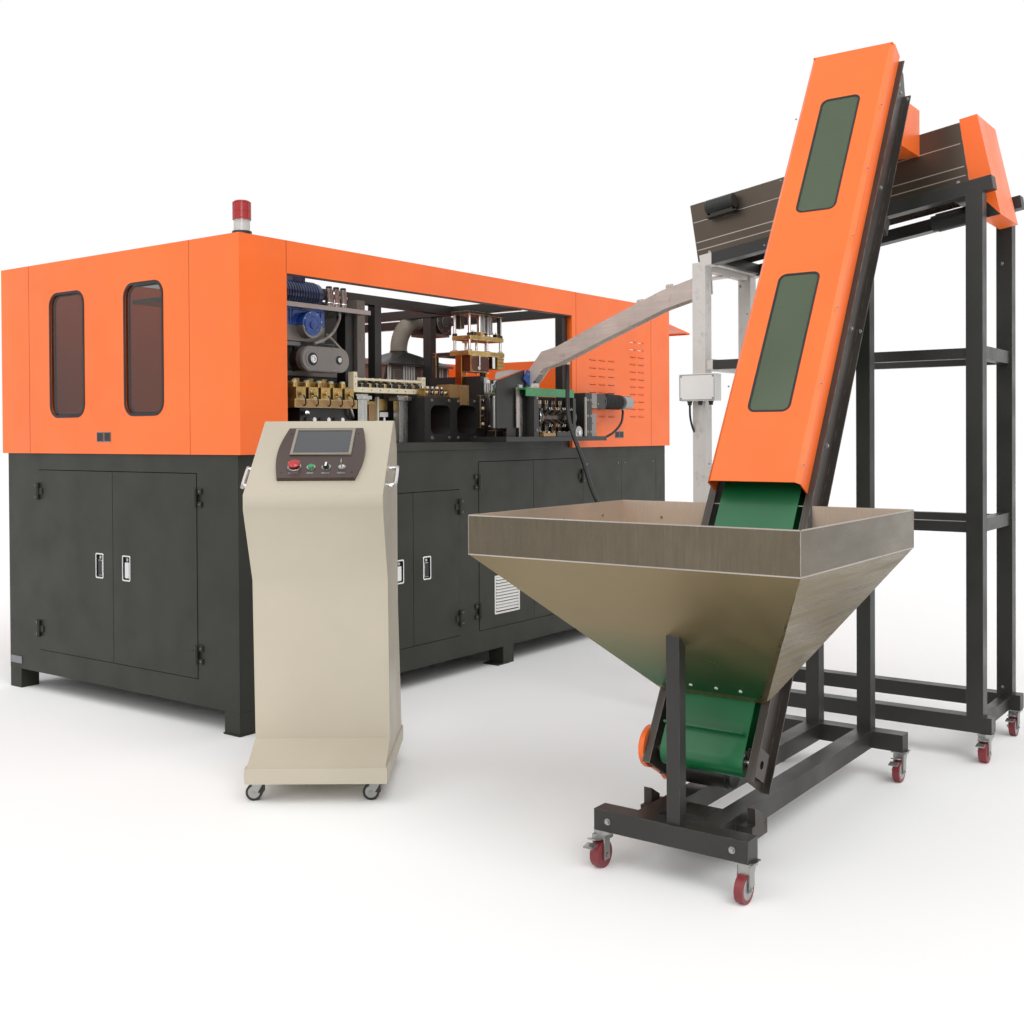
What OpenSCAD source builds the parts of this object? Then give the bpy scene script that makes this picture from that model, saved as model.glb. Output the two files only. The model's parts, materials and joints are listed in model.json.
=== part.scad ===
// Linear stretch blow moulding line: machine cabinet, operator console,
// preform elevator with hopper, preform sorter on its tower, and feed chute.
// Millimetres. Origin: front left foot corner of the cabinet on the floor,
// +X along the long side, +Y across the cabinet, +Z up.

/* [Cabinet] */
// Length of the base cabinet
cab_l = 3600; // [3400:50:3800]
// Width of the base cabinet
cab_w = 1700; // [1600:50:1800]
// Height of the joint between base and upper enclosure
base_h = 1150; // [1100:25:1200]
// Height of the upper enclosure above that joint
upper_h = 900; // [850:25:950]
// Free height under the base skirt
foot_h = 95; // [80:5:110]
// Side of the square feet
foot_w = 95; // [80:5:110]
// Thickness of the base sheet walls
base_wall = 20; // [15:1:25]
// Thickness of the folded enclosure walls
upper_wall = 20; // [15:1:25]
// How far the enclosure overhangs the base at the ends
lap_end = 12; // [8:1:16]
// How far the enclosure overhangs the base at the long sides
lap_side = 30; // [25:1:35]
// Thickness of the machine bed above the base
bed_t = 40; // [35:1:45]

/* [Cabinet doors] */
// Thickness of every base door
door_t = 18; // [15:1:18]
// Gap all round each door
door_gap = 3; // [2:0.5:4]
// Width of the end door pair
end_pair_w = 1175; // [1000:25:1200]
// Width of the first long side door pair
pair1_w = 714; // [650:1:720]
// Width of the second long side door pair
pair2_w = 989; // [900:1:990]
// Radius of the hinge knuckles
knuckle_r = 9; // [8:0.5:10]

/* [Enclosure openings] */
// Left edge of the working opening in the long side
open_x0 = 245; // [200:5:260]
// Right edge of the working opening in the long side
open_x1 = 2440; // [2430:5:2460]
// Height of the header over the working opening
header_h = 138; // [120:1:150]
// Width of each end window
win_w = 265; // [220:5:280]
// Height of each end window
win_h = 570; // [500:10:600]
// Corner radius of the end windows
win_r = 55; // [40:5:60]
// Depth of the awning flap at the outfeed
flap_d = 340; // [300:10:360]
// Width of the awning flap at the outfeed
flap_w = 700; // [600:20:720]
// Length of one ventilation slot
slot_w = 72; // [60:1:75]
// Height of one ventilation slot
slot_h = 10; // [8:1:12]

/* [Console] */
// Width of the console body
con_w = 460; // [430:10:480]
// Height of the console
con_h = 1278; // [1250:1:1300]
// Distance of the console front edge from the machine's corner post
con_off = 984; // [960:1:1010]

/* [Elevator] */
// Width of the elevator cover
el_w = 281; // [270:1:290]
// Length of the elevator cover
el_l = 1815; // [1750:5:1830]
// Climb angle of the elevator
el_a = 60; // [59:0.5:61]
// Depth of the cover flanges
el_cover_d = 70; // [60:1:75]
// Depth of the side channels behind the cover
el_chan_d = 125; // [115:1:130]
// Radius of the belt rollers
el_roll_r = 40; // [36:1:42]
// Length of the hopper along the machine
hop_l = 845; // [840:5:860]
// Width of the hopper across
hop_w = 968; // [950:2:980]
// Height of the hopper rim above the floor
hop_z = 1003; // [995:1:1010]
// Height of the upright hopper band
hop_band = 110; // [100:1:120]
// Thickness of the hopper sheet
hop_t = 4; // [3:0.5:5]
// Side of the square stand tubes
tube_w = 60; // [50:1:62]

/* [Tower] */
// Spacing of the tower posts along the machine
tow_l = 500; // [480:10:520]
// Length of the sorter trough
sort_l = 1160; // [1120:10:1180]
// Width of the sorter trough
sort_w = 280; // [260:5:300]
// Tilt of the sorter trough
sort_a = 8.8; // [8:0.1:9.5]
// Radius of the sorting rollers
sort_roll_r = 34; // [30:1:35]

/* [Casters] */
// Radius of the large caster wheels
wheel_r = 38; // [35:1:40]
// Radial clearance of every shaft in its bore
fit = 0.05; // [0.03:0.01:0.1]

/* [Hidden] */
$fn = 48;

// Colours of the real finishes
c_orange = "#ff7d42";
c_dark = "#45453f";
c_black = "#24231f";
c_beige = "#cfc4b2";
c_steel = "#b9b6ae";
c_gold = "#c9a54c";
c_blue = "#24479c";
c_green = "#0e6b41";
c_grey = "#8d8e8c";

// Cabinet levels and planes
top_z = base_h + upper_h;
bed_z = base_h + bed_t;
head_z = top_z - header_h;
front_y = -lap_side;
back_y = cab_w + lap_side;
left_x = -lap_end;
right_x = cab_l + lap_end;

// A box given by two opposite corners
module slab(a, b) { translate(a) cube([b[0] - a[0], b[1] - a[1], b[2] - a[2]]); }

// A cylinder whose axis runs along X, Y or Z from the given point
module rod_x(p, l, r) { translate(p) rotate([0, 90, 0]) cylinder(h = l, r = r); }
module rod_y(p, l, r) { translate(p) rotate([-90, 0, 0]) cylinder(h = l, r = r); }
module rod_z(p, l, r) { translate(p) cylinder(h = l, r = r); }

// A flat rectangle with round corners, centred
module round_rect(w, h, r) {
  square([w - 2 * r, h], center = true);
  square([w, h - 2 * r], center = true);
  for (x = [-1, 1], y = [-1, 1]) translate([x * (w / 2 - r), y * (h / 2 - r)]) circle(r = r);
}

// Turns a drawing in the plane (a, b) into a plate: a along Y, b up, thickness along X
module plate_yz(x, t) { translate([x, 0, 0]) rotate([90, 0, 90]) linear_extrude(t) children(); }
// Turns a drawing in the plane (a, b) into a plate: a along X, b up, thickness along +Y from y
module plate_xz(y, t) { translate([0, y + t, 0]) rotate([90, 0, 0]) linear_extrude(t) children(); }

// Base doors: a pair is stated by its centre, width, foot and head
door_z0 = foot_h + 110;
end_c = cab_w / 2 - 3;
end_z1 = base_h - 78;
pair1_c = 1074;
pair1_z1 = base_h - 199;
pair2_c = 2085.5;
pair2_z1 = base_h - 62;
hinge_out = knuckle_r - 4;

module door_hole(c, w, z1) { translate([c - w / 2, door_z0]) square([w, z1 - door_z0]); }

// Four corner feet with foot plates, and the tube frame inside the skirt
module base_frame() color(c_dark) {
  for (x = [0, cab_l - foot_w], y = [0, cab_w - foot_w]) {
    slab([x, y, 8], [x + foot_w, y + foot_w, foot_h]);
    slab([x, y, 0], [x + foot_w, y + foot_w, 8]);
  }
  mid_x = cab_l / 2;
  for (y = [0, cab_w - foot_w]) slab([mid_x, y, 0], [mid_x + foot_w, y + foot_w, foot_h]);
}

// Sheet base: walls with door cut-outs, floor, middle wall and top rails under the bed
module base_shell() color(c_dark) {
  difference() {
    slab([0, 0, foot_h], [cab_l, cab_w, base_h]);
    slab([base_wall, base_wall, foot_h + base_wall], [cab_l - base_wall, cab_w - base_wall, base_h + 1]);
    plate_yz(-1, base_wall + 2) door_hole(end_c, end_pair_w, end_z1);
    plate_xz(-1, base_wall + 2) door_hole(pair1_c, pair1_w, pair1_z1);
    plate_xz(-1, base_wall + 2) door_hole(pair2_c, pair2_w, pair2_z1);
  }
  end_left(end_c, end_pair_w) hinge_fixed(end_h);
  end_right(end_c, end_pair_w) hinge_fixed(end_h);
  front_left(pair1_c, pair1_w) hinge_fixed(pair1_h);
  front_right(pair1_c, pair1_w) hinge_fixed(pair1_h);
  front_left(pair2_c, pair2_w) hinge_fixed(pair2_h);
  front_right(pair2_c, pair2_w) hinge_fixed(pair2_h);
}

// Machine bed: ground plate with two long T slots
slot_bed_w = 22;
module bed_plate() color(c_dark) difference() {
  slab([left_x + upper_wall, front_y + upper_wall, base_h],
    [right_x - upper_wall, back_y - upper_wall, bed_z]);
  for (y = [620, 1080]) slab([300, y, bed_z - 14], [3300, y + slot_bed_w, bed_z + 1]);
}

// Hinged base doors. Local frame: hinge line at the origin, opening from x = 0 to x = w,
// wall face at y = 0, foot of the opening at z = 0.
hinge_y = -knuckle_r - 1;
knuckle_l = 30;
pin_r = 4;
door_face = -2;
pull_w = 50;
pull_h = 105;
function hinge_heights(h) = [0.12 * h, 0.88 * h];

module door_leaf(w, h, pull_z) difference() {
  union() {
    slab([door_gap, door_face, door_gap], [w - door_gap / 2, door_face + door_t, h - door_gap]);
    for (z = hinge_heights(h)) {
      translate([0, hinge_y, z - knuckle_l / 2]) cylinder(h = knuckle_l, r = knuckle_r);
      slab([0, hinge_y + 2, z - knuckle_l / 2], [34, door_face, z + knuckle_l / 2]);
    }
  }
  for (z = hinge_heights(h)) {
    translate([0, hinge_y, z - knuckle_l]) cylinder(h = 2 * knuckle_l, r = pin_r + fit);
    for (s = [-1, 1]) translate([0, hinge_y, z + s * (knuckle_l / 2 + 12.5) - 12.5])
      cylinder(h = 25, r = knuckle_r + 0.5);
  }
  slab([w - 75 - pull_w, door_face - 1, pull_z], [w - 75, door_face + 9, pull_z + pull_h]);
}

// Fixed half of the hinges: outer knuckles, their leaf and the pin
module hinge_fixed(h) for (z = hinge_heights(h)) translate([0, hinge_y, z]) {
  for (s = [-1, 1]) translate([0, 0, s * (knuckle_l / 2 + 12 + 0.5) - 12]) {
    cylinder(h = 24, r = knuckle_r);
    translate([-34, 3, 0]) cube([34, -hinge_y - 3, 24]);
  }
  translate([0, 0, -knuckle_l]) cylinder(h = 2 * knuckle_l, r = pin_r);
}

// Places a left or right hinged leaf of a pair centred on c in the front or the end wall
module front_left(c, w) translate([c - w / 2, 0, door_z0]) children();
module front_right(c, w) translate([c + w / 2, 0, door_z0]) mirror([1, 0, 0]) children();
module end_left(c, w) translate([0, c + w / 2, door_z0]) rotate([0, 0, -90]) children();
module end_right(c, w) translate([0, c - w / 2, door_z0]) rotate([0, 0, -90]) mirror([1, 0, 0]) children();

end_h = end_z1 - door_z0;
pair1_h = pair1_z1 - door_z0;
pair2_h = pair2_z1 - door_z0;
pull_end = 383;
pull_side = 319;
module end_door_left() color(c_dark) end_left(end_c, end_pair_w) door_leaf(end_pair_w / 2, end_h, pull_end);
module end_door_right() color(c_dark) end_right(end_c, end_pair_w) door_leaf(end_pair_w / 2, end_h, pull_end);
module side_door_1_left() color(c_dark)
  front_left(pair1_c, pair1_w) door_leaf(pair1_w / 2, pair1_h, pull_side);
module side_door_1_right() color(c_dark)
  front_right(pair1_c, pair1_w) door_leaf(pair1_w / 2, pair1_h, pull_side);

// The second pair: its left leaf has a louvred vent
vent_x = 142;
vent_w = 203;
vent_z = 81;
vent_h = 184;
module side_door_2_left() color(c_dark) front_left(pair2_c, pair2_w) difference() {
  door_leaf(pair2_w / 2, pair2_h, pull_side);
  for (i = [0:7])
    slab([vent_x + 12, door_face - 1, vent_z + 14 + i * 20], [vent_x + vent_w - 12, door_t, vent_z + 24 + i * 20]);
}
module side_door_2_right() color(c_dark)
  front_right(pair2_c, pair2_w) door_leaf(pair2_w / 2, pair2_h, pull_side);

// Upper enclosure: three full walls and a low wall at the rear right, open at the top.
// The outfeed hatch is in the right wall under the awning flap.
win_z = base_h + 460;
win_y = [cab_w / 2 - 252, cab_w / 2 + 325];
hatch_y0 = 40;
hatch_z0 = base_h + 480;
hatch_h = 300;
low_z = base_h + 600;
rear_x = 2500;
rim_w = 40;
module enclosure() color(c_orange) {
  flap_hinge_fixed();
  difference() {
  union() {
    slab([left_x, front_y, base_h], [right_x, front_y + upper_wall, top_z]);
    slab([left_x, front_y, base_h], [left_x + upper_wall, back_y, top_z]);
    slab([left_x, back_y - upper_wall, base_h], [rear_x, back_y, top_z]);
    slab([rear_x, back_y - upper_wall, base_h], [right_x, back_y, low_z]);
    slab([right_x - upper_wall, front_y, base_h], [right_x, back_y, low_z]);
    slab([right_x - upper_wall, front_y, low_z], [right_x, hatch_y0 + flap_w + 60, top_z]);
    slab([left_x, front_y, top_z - 20], [right_x, front_y + upper_wall + rim_w, top_z]);
    slab([left_x, front_y, top_z - 20], [left_x + upper_wall + rim_w, back_y, top_z]);
    slab([open_x1 + 5, front_y + upper_wall, bed_z], [open_x1 + 22, front_y + 75, head_z]);
  }
  slab([open_x0, front_y - 1, base_h - 1], [open_x1, front_y + upper_wall + 1, head_z]);
  for (y = win_y) translate([left_x - 1, y, win_z])
    rotate([90, 0, 90]) linear_extrude(upper_wall + 2) round_rect(win_w, win_h, win_r);
  slab([right_x - upper_wall - 1, hatch_y0, hatch_z0], [right_x + 1, hatch_y0 + flap_w - 60, hatch_z0 + hatch_h]);
  for (i = [0:2], j = [0:7])
    slab([2628 + i * 105, front_y - 1, base_h + 178 + j * 48], [2628 + i * 105 + slot_w, front_y + upper_wall + 1,
      base_h + 178 + j * 48 + slot_h]);
  for (i = [0:1], j = [0:10])
    slab([3100 + i * 100, front_y - 1, base_h + 182 + j * 46.5], [3100 + i * 100 + slot_w, front_y + upper_wall + 1,
      base_h + 182 + j * 46.5 + slot_h]);
  }
}

// Fixed knuckles and pins of the awning flap
module flap_hinge_fixed() for (y = [80, flap_w - 80 - knuckle_l]) translate([flap_x, flap_y0 + y, flap_z]) {
  for (s = [-12.5, knuckle_l + 0.5]) {
    rod_y([0, s, 0], 12, knuckle_r);
    slab([right_x - flap_x, s, -2], [0, s + 12, 5]);
  }
  rod_y([0, -12, 0], knuckle_l + 24, pin_r);
}

// Tinted panes held in the window openings
module end_windows() color("#3a3434") for (y = win_y) translate([left_x + 6, y, win_z])
  rotate([90, 0, 90]) linear_extrude(5) round_rect(win_w, win_h, win_r);

// Signal lamp: clear foot ring and red dome on the corner of the rim
lamp_x = 38;
lamp_y = 8;
module beacon_lamp() color("#c21a1a") translate([lamp_x, lamp_y, top_z]) {
  cylinder(h = 12, r = 40);
  translate([0, 0, 12]) cylinder(h = 46, r = 33);
  translate([0, 0, 58]) cylinder(h = 70, r = 36);
  translate([0, 0, 128]) cylinder(h = 8, r1 = 36, r2 = 30);
}

// Awning flap: a folded pan hinged over the outfeed hatch, raised at rest
flap_z = top_z - 92;
flap_x = right_x + 14;
flap_tilt = 8;
flap_y0 = hatch_y0 - 40;
module outfeed_flap() color(c_orange) translate([flap_x, flap_y0, flap_z]) rotate([0, flap_tilt, 0]) {
  difference() {
    slab([knuckle_r + 1, 0, -8], [flap_d, flap_w, 4]);
    slab([12, 4, -9], [flap_d - 4, flap_w - 4, 0]);
  }
  for (y = [80, flap_w - 80 - knuckle_l]) difference() {
    union() {
      rod_y([0, y, 0], knuckle_l, knuckle_r);
      slab([0, y, 0], [14, y + knuckle_l, 4]);
    }
    rod_y([0, y - 1, 0], knuckle_l + 2, pin_r + fit);
  }
}

// Black frame inside the enclosure: posts on the bed, roof beams and the oven hanger
post_w = 50;
beam1_x = 1925;
beam2_x = 2385;
beam_z = head_z - 10;
module inner_frame() color(c_black) {
  slab([beam1_x, front_y + upper_wall, beam_z], [beam1_x + post_w, back_y - upper_wall, beam_z + post_w]);
  slab([beam2_x, front_y + upper_wall, beam_z], [beam2_x + post_w, back_y - upper_wall, beam_z + post_w]);
  slab([beam2_x, 0, bed_z], [beam2_x + post_w, post_w, beam_z]);
  slab([beam1_x + 5, 600, bed_z], [beam1_x + post_w, 660, beam_z]);
  slab([beam1_x, back_y - upper_wall - post_w, bed_z], [beam1_x + post_w, back_y - upper_wall, beam_z]);
  slab([beam2_x, back_y - upper_wall - post_w, bed_z], [beam2_x + post_w, back_y - upper_wall, beam_z]);
  slab([1290, 440, bed_z], [1290 + post_w, 440 + post_w, beam_z + post_w]);
  slab([left_x + upper_wall, 440, beam_z], [1290, 440 + post_w, beam_z + post_w]);
  slab([1290 + post_w, 440, beam_z], [beam1_x, 440 + post_w, beam_z + post_w]);
}

// Infrared oven: two reflector banks on feet, end plates and a domed hood with a flue collar
oven_x0 = 1660;
oven_x1 = 2210;
oven_y0 = 700;
oven_y1 = 960;
oven_z0 = bed_z + 250;
oven_z1 = base_h + 475;
flue_x = (oven_x0 + oven_x1) / 2 - 25;
flue_y = (oven_y0 + oven_y1) / 2;
flue_r = 55;
hood_h = 80;
module hood_shape(d) hull() {
  slab([oven_x0 - 10 + d, oven_y0 - 30 + d, oven_z1], [oven_x1 + 10 - d, oven_y1 + 30 - d, oven_z1 + 6]);
  translate([flue_x, flue_y, oven_z1 + hood_h - d]) cylinder(h = 2, r = flue_r + 6 - d, $fn = 32);
}
module oven() color(c_black) {
  for (y = [oven_y0, oven_y1 - 25]) slab([oven_x0, y, oven_z0], [oven_x1, y + 25, oven_z1]);
  for (x = [oven_x0, oven_x1 - 20]) slab([x, oven_y0, oven_z0], [x + 20, oven_y1, oven_z1]);
  for (x = [oven_x0, oven_x1 - 50], y = [oven_y0, oven_y1 - 50]) slab([x, y, bed_z], [x + 50, y + 50, oven_z0]);
  difference() {
    slab([oven_x0 - 10, oven_y0 - 30, oven_z1 - 4], [oven_x1 + 10, oven_y1 + 30, oven_z1]);
    slab([oven_x0 + 20, oven_y0 + 25, oven_z1 - 5], [oven_x1 - 20, oven_y1 - 25, oven_z1 + 1]);
  }
  difference() {
    hood_shape(0);
    translate([0, 0, -5]) hood_shape(5);
    rod_z([flue_x, flue_y, oven_z1], hood_h + 10, flue_r);
  }
}

// Quartz heater lamps across the oven, ends seated in its end plates
lamp_r = 7;
module heater_lamps() color("#e8e4dc") for (y = [oven_y0 + 50, oven_y1 - 50], k = [0:3])
  rod_x([oven_x0 + 20, y, oven_z0 + 25 + k * 42], oven_x1 - oven_x0 - 40, lamp_r);

// Flexible flue: ribbed hose from the hood collar to the fan, and the fan case on the rear beam
fan_x = 2060;
fan_y = 700;
fan_w = 190;
fan_z0 = base_h + 650;
duct_r = 48;
duct_rings = 12;
module exhaust_duct() color(c_grey) {
  rise = fan_z0 + 92 - (oven_z1 + hood_h);
  step = rise / duct_rings;
  dx = (fan_x - 60 - flue_x) / duct_rings;
  dy = (fan_y + 60 - flue_y) / duct_rings;
  for (i = [0:duct_rings - 1]) translate([flue_x + i * dx, flue_y + i * dy, oven_z1 + hood_h + i * step]) {
    cylinder(h = step, r = duct_r - 6);
    cylinder(h = step / 2, r = duct_r);
  }
  slab([fan_x - 110, fan_y, fan_z0 + 92], [fan_x, fan_y + 120, fan_z0 + 100]);
  slab([fan_x, fan_y, fan_z0], [fan_x + fan_w, fan_y + fan_w, fan_z0 + fan_w]);
  rod_y([fan_x + fan_w / 2, fan_y - 20, fan_z0 + fan_w / 2], 20, 70);
  slab([beam1_x + post_w, fan_y + 60, beam_z + 10], [fan_x, fan_y + 90, beam_z + 40]);
}

// Drive shelf with the main gearbox under it, the motor and the air preparation bowls on it
shelf_x0 = left_x + upper_wall;
shelf_x1 = 1000;
shelf_y0 = 200;
shelf_y1 = 700;
shelf_z = base_h + 662;
shelf_t = 18;
leg_w = 60;
gb_z0 = shelf_z - 150;
module main_gearbox() color(c_blue) {
  slab([shelf_x0, shelf_y0, shelf_z], [shelf_x1, shelf_y1, shelf_z + shelf_t]);
  slab([shelf_x1 - leg_w, 310, bed_z], [shelf_x1, 310 + leg_w, shelf_z]);
  slab([150, 500, bed_z], [150 + leg_w, 500 + leg_w, shelf_z]);
  slab([300, 250, gb_z0], [740, 500, shelf_z]);
  rod_y([620, 205, (gb_z0 + shelf_z) / 2], 45, 62);
  rod_x([545, 370, shelf_z + shelf_t + 66], 250, 60);
  for (x = [570, 740]) slab([x, 320, shelf_z + shelf_t], [x + 30, 420, shelf_z + shelf_t + 30]);
  rod_x([505, 370, shelf_z + shelf_t + 66], 40, 52);
  slab([620, 335, shelf_z + shelf_t + 120], [700, 405, shelf_z + shelf_t + 150]);
  for (i = [0:2]) translate([850 + i * 48, 330, shelf_z + shelf_t]) {
    cylinder(h = 60, r = 19);
    translate([0, 0, 60]) cylinder(h = 12, r = 22);
    translate([0, 0, 72]) cylinder(h = 34, r = 16);
  }
}

// Oblong guard over the timing belt, on a bracket under the gearbox
bc_x0 = 640;
bc_x1 = 800;
bc_z = base_h + 433;
bc_r = 58;
module belt_cover() color(c_grey) {
  plate_xz(188, 42) {
    translate([(bc_x0 + bc_x1) / 2, bc_z]) square([bc_x1 - bc_x0, 2 * bc_r], center = true);
    for (x = [bc_x0, bc_x1]) translate([x, bc_z]) circle(r = bc_r);
  }
  for (x = [bc_x0, bc_x1]) rod_y([x, 176, bc_z], 12, 22);
  rod_y([bc_x0 - 25, 230, bc_z], 50, 78);
  slab([bc_x0 - 60, 280, bc_z - 60], [bc_x1 + 40, 300, gb_z0]);
}

// Plated valve blocks stacked on a pedestal at the left of the bed
module valve_manifold() color(c_gold) {
  slab([560, 230, bed_z], [880, 420, base_h + 205]);
  slab([500, 200, base_h + 205], [905, 430, base_h + 245]);
  for (i = [0:4]) {
    slab([515 + i * 78, 205, base_h + 245], [515 + i * 78 + 60, 300, base_h + 300]);
    rod_z([545 + i * 78, 252, base_h + 300], 22, 17);
    rod_y([545 + i * 78, 190, base_h + 272], 15, 13);
  }
  slab([520, 310, base_h + 245], [890, 420, base_h + 330]);
  for (i = [0:3]) rod_z([565 + i * 90, 365, base_h + 330], 18, 24);
}

// Clamp unit: cast housing with round-cornered windows and a bore for the clamp rod,
// four tie bars and the end plate they are tied to
cl_x0 = 1345;
cl_x1 = 1840;
cl_y0 = 150;
cl_y1 = 510;
cl_z1 = base_h + 270;
plate_z1 = base_h + 395;
tie_y = [195, 465];
tie_z = [bed_z + 75, base_h + 355];
tie_r = 16;
end_x0 = 2240;
mould_cx = 2005;
mould_cy = 330;
mould_cz = base_h + 210;
rod_r = 30;
module clamp_housing() color(c_black) {
  difference() {
    union() {
      slab([cl_x0, cl_y0, bed_z], [cl_x1 - 30, cl_y1, cl_z1]);
      slab([cl_x1 - 30, cl_y0, bed_z], [cl_x1, cl_y1, plate_z1]);
      for (k = [0:2]) slab([cl_x0 + 60 + k * 170, 320, cl_z1], [cl_x0 + 75 + k * 170, cl_y1 - 40, cl_z1 + 60]);
    }
    for (x = [cl_x0 + 125, cl_x0 + 340]) translate([x, cl_y1 + 1, (bed_z + cl_z1) / 2])
      rotate([90, 0, 0]) linear_extrude(cl_y1 - cl_y0 + 2) round_rect(160, 150, 38);
    rod_x([cl_x1 - 45, mould_cy, mould_cz], 50, rod_r + fit);
  }
  for (y = tie_y, z = tie_z) rod_x([cl_x1, y, z], end_x0 - cl_x1, tie_r);
  slab([end_x0, cl_y0, bed_z], [end_x0 + 40, cl_y1, plate_z1]);
  rod_x([end_x0 + 40, mould_cy, mould_cz], 50, 55);
}

// Clamp platens with their mould halves: three half cavities in each
platen_t = 45;
mould_t = 75;
mould_gap = 30;
mould_h = 300;
cav_r = 32;
cav_pitch = 76;
module platen(dir) {
  face = mould_cx - dir * mould_gap;
  x0 = dir > 0 ? face - mould_t - platen_t : face + mould_t;
  mx = dir > 0 ? face - mould_t : face;
  difference() {
    union() {
      slab([x0, cl_y0 + 15, bed_z + 20], [x0 + platen_t, cl_y1 - 15, plate_z1 - 5]);
      slab([mx, mould_cy - 118, mould_cz - 130], [mx + mould_t, mould_cy + 118, mould_cz - 130 + mould_h]);
    }
    for (y = tie_y, z = tie_z) rod_x([x0 - 1, y, z], platen_t + 2, tie_r + fit);
    for (k = [-1:1]) {
      rod_z([face, mould_cy + k * cav_pitch, mould_cz - 115], 235, cav_r);
      rod_z([face, mould_cy + k * cav_pitch, mould_cz + 100], 100, 14);
    }
  }
}
module platen_left() color(c_steel) {
  platen(1);
  rod_x([cl_x1 - 40, mould_cy, mould_cz], mould_cx - mould_gap - mould_t - platen_t - cl_x1 + 40, rod_r);
}
module platen_right() color(c_steel) platen(-1);

// Stretch station: table on the clamp plates, guide rods, cylinders, top plate, heater block
st_x0 = 1800;
st_x1 = 2285;
st_y0 = 200;
st_y1 = 520;
st_z = base_h + 530;
st_t = 25;
st_top = base_h + 728;
guide_r = 12;
guides = [[1850, 225], [2225, 225], [1850, 435], [2225, 435]];
piston_r = 9;
pistons = [[1935, 290], [2090, 290]];
stretch_r = 7;
module stretch_frame() color(c_gold) {
  difference() {
    slab([st_x0, st_y0, st_z], [st_x1, st_y1, st_z + st_t]);
    for (k = [-1:1]) rod_z([mould_cx, mould_cy + k * cav_pitch, st_z - 1], st_t + 2, 13);
  }
  for (g = guides) rod_z([g[0], g[1], st_z + st_t], st_top - st_z - st_t, guide_r);
  slab([st_x0 + 20, st_y0 + 5, st_top], [st_x1 - 20, 470, st_top + 22]);
  for (x = [cl_x1 - 28, end_x0 + 2], y = [cl_y0 + 55, cl_y1 - 45]) slab([x, y, plate_z1], [x + 26, y + 35, st_z]);
  slab([1772, 265, cl_z1], [1806, 315, st_z]);
  slab([1690, 265, cl_z1], [1772, 315, cl_z1 + 16]);
  slab([1850, st_y0 + 5, st_z - 105], [1975, st_y0 + 45, st_z]);
  for (p = pistons) difference() {
    rod_z([p[0], p[1], st_top - 78], 78, 25);
    rod_z([p[0], p[1], st_top - 79], 75, piston_r + fit);
  }
}

// Stretch carriage: plate sliding on the guide rods, with three stretch rods and two pistons
car_z = base_h + 607;
car_t = 25;
stretch_len = 190;
module stretch_carriage() color(c_gold) {
  difference() {
    slab([st_x0 + 15, st_y0 - 10, car_z], [st_x1 - 15, 460, car_z + car_t]);
    for (g = guides) rod_z([g[0], g[1], car_z - 1], car_t + 2, guide_r + fit);
  }
  for (k = [-1:1]) rod_z([mould_cx, mould_cy + k * cav_pitch, car_z - stretch_len], stretch_len, stretch_r);
  for (p = pistons) rod_z([p[0], p[1], car_z + car_t], 78, piston_r);
}

// Transfer bar: cream rail that shuttles a row of preform mandrels from the oven side to the clamp
mandrel_pitch = 62;
rail_x0 = 907;
rail_x1 = rail_x0 + 65 + 8 * mandrel_pitch;
rail_y0 = 225;
rail_y1 = 275;
rail_z = base_h + 278;
rail_h = 48;
module transfer_bar() color("#e6dcc0") {
  slab([rail_x0, rail_y0, rail_z], [rail_x1, rail_y1, rail_z + rail_h]);
  for (i = [0:8]) translate([rail_x0 + 32 + i * mandrel_pitch, (rail_y0 + rail_y1) / 2, rail_z + rail_h]) {
    cylinder(h = 14, r = 15);
    translate([0, 0, 14]) cylinder(h = 26, r = 10);
    translate([0, 0, 40]) cylinder(h = 10, r = 13);
  }
}

// Loader at the front of the bed: base plate, bearing blocks, rail legs, dark side guard
ld_y = -100;
ld_z = base_h + 170;
ld_shaft_r = 14;
ld_x0 = 1856;
ld_x1 = 2359;
ld_base_z = bed_z + 25;
ld_front = -175;
module loader_frame() color(c_black) {
  slab([1600, ld_front, bed_z], [2380, 60, ld_base_z]);
  slab([2380, ld_front, bed_z], [2580, front_y - 2, ld_base_z]);
  difference() {
    union() {
      slab([ld_x0, ld_front + 5, ld_base_z], [ld_x0 + 44, -35, base_h + 290]);
      slab([ld_x1, ld_front + 5, ld_base_z], [ld_x1 + 70, -35, base_h + 310]);
    }
    rod_x([ld_x0 - 1, ld_y, ld_z], ld_x1 - ld_x0 + 42, ld_shaft_r + fit);
  }
  slab([ld_x1 + 70, ld_front + 25, ld_base_z], [2508, -40, base_h + 195]);
  slab([ld_x1 + 70, ld_front + 20, base_h + 225], [2508, -45, base_h + 310]);
  slab([ld_x1 + 90, ld_front + 60, base_h + 195], [2490, -60, base_h + 225]);
  plate_xz(-112, 8) polygon([[1602, base_h + 110], [1602, base_h + 350], [1852, base_h + 420], [1852, base_h + 395],
    [1815, base_h + 110]]);
  slab([1690, -112, ld_base_z], [1770, -104, base_h + 110]);
  slab([1790, -120, ld_base_z], [1822, -112, base_h + 340]);
  for (x = [rail_x0 + 34, 1240]) {
    slab([x, rail_y0 + 5, bed_z], [x + 65, rail_y1 - 5, rail_z - 26]);
    slab([x - 20, rail_y0 - 8, rail_z - 26], [x + 85, rail_y1 + 8, rail_z - 8]);
    slab([x - 10, rail_y0 + 8, rail_z - 8], [x + 75, rail_y1 - 8, rail_z - 0.3]);
  }
}

// Folded green guard over the loader drum, with the blue actuator on it
module loader_guard() color(c_green) {
  slab([ld_x0, ld_front, base_h + 290], [ld_x1 - 3, 20, base_h + 300]);
  slab([ld_x0, ld_front - 6, base_h + 268], [ld_x1 - 3, ld_front, base_h + 300]);
  slab([ld_x0, 20, base_h + 268], [ld_x1 - 3, 26, base_h + 300]);
  slab([ld_x0 + 14, -90, base_h + 300], [ld_x0 + 84, -20, base_h + 385]);
}

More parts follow.
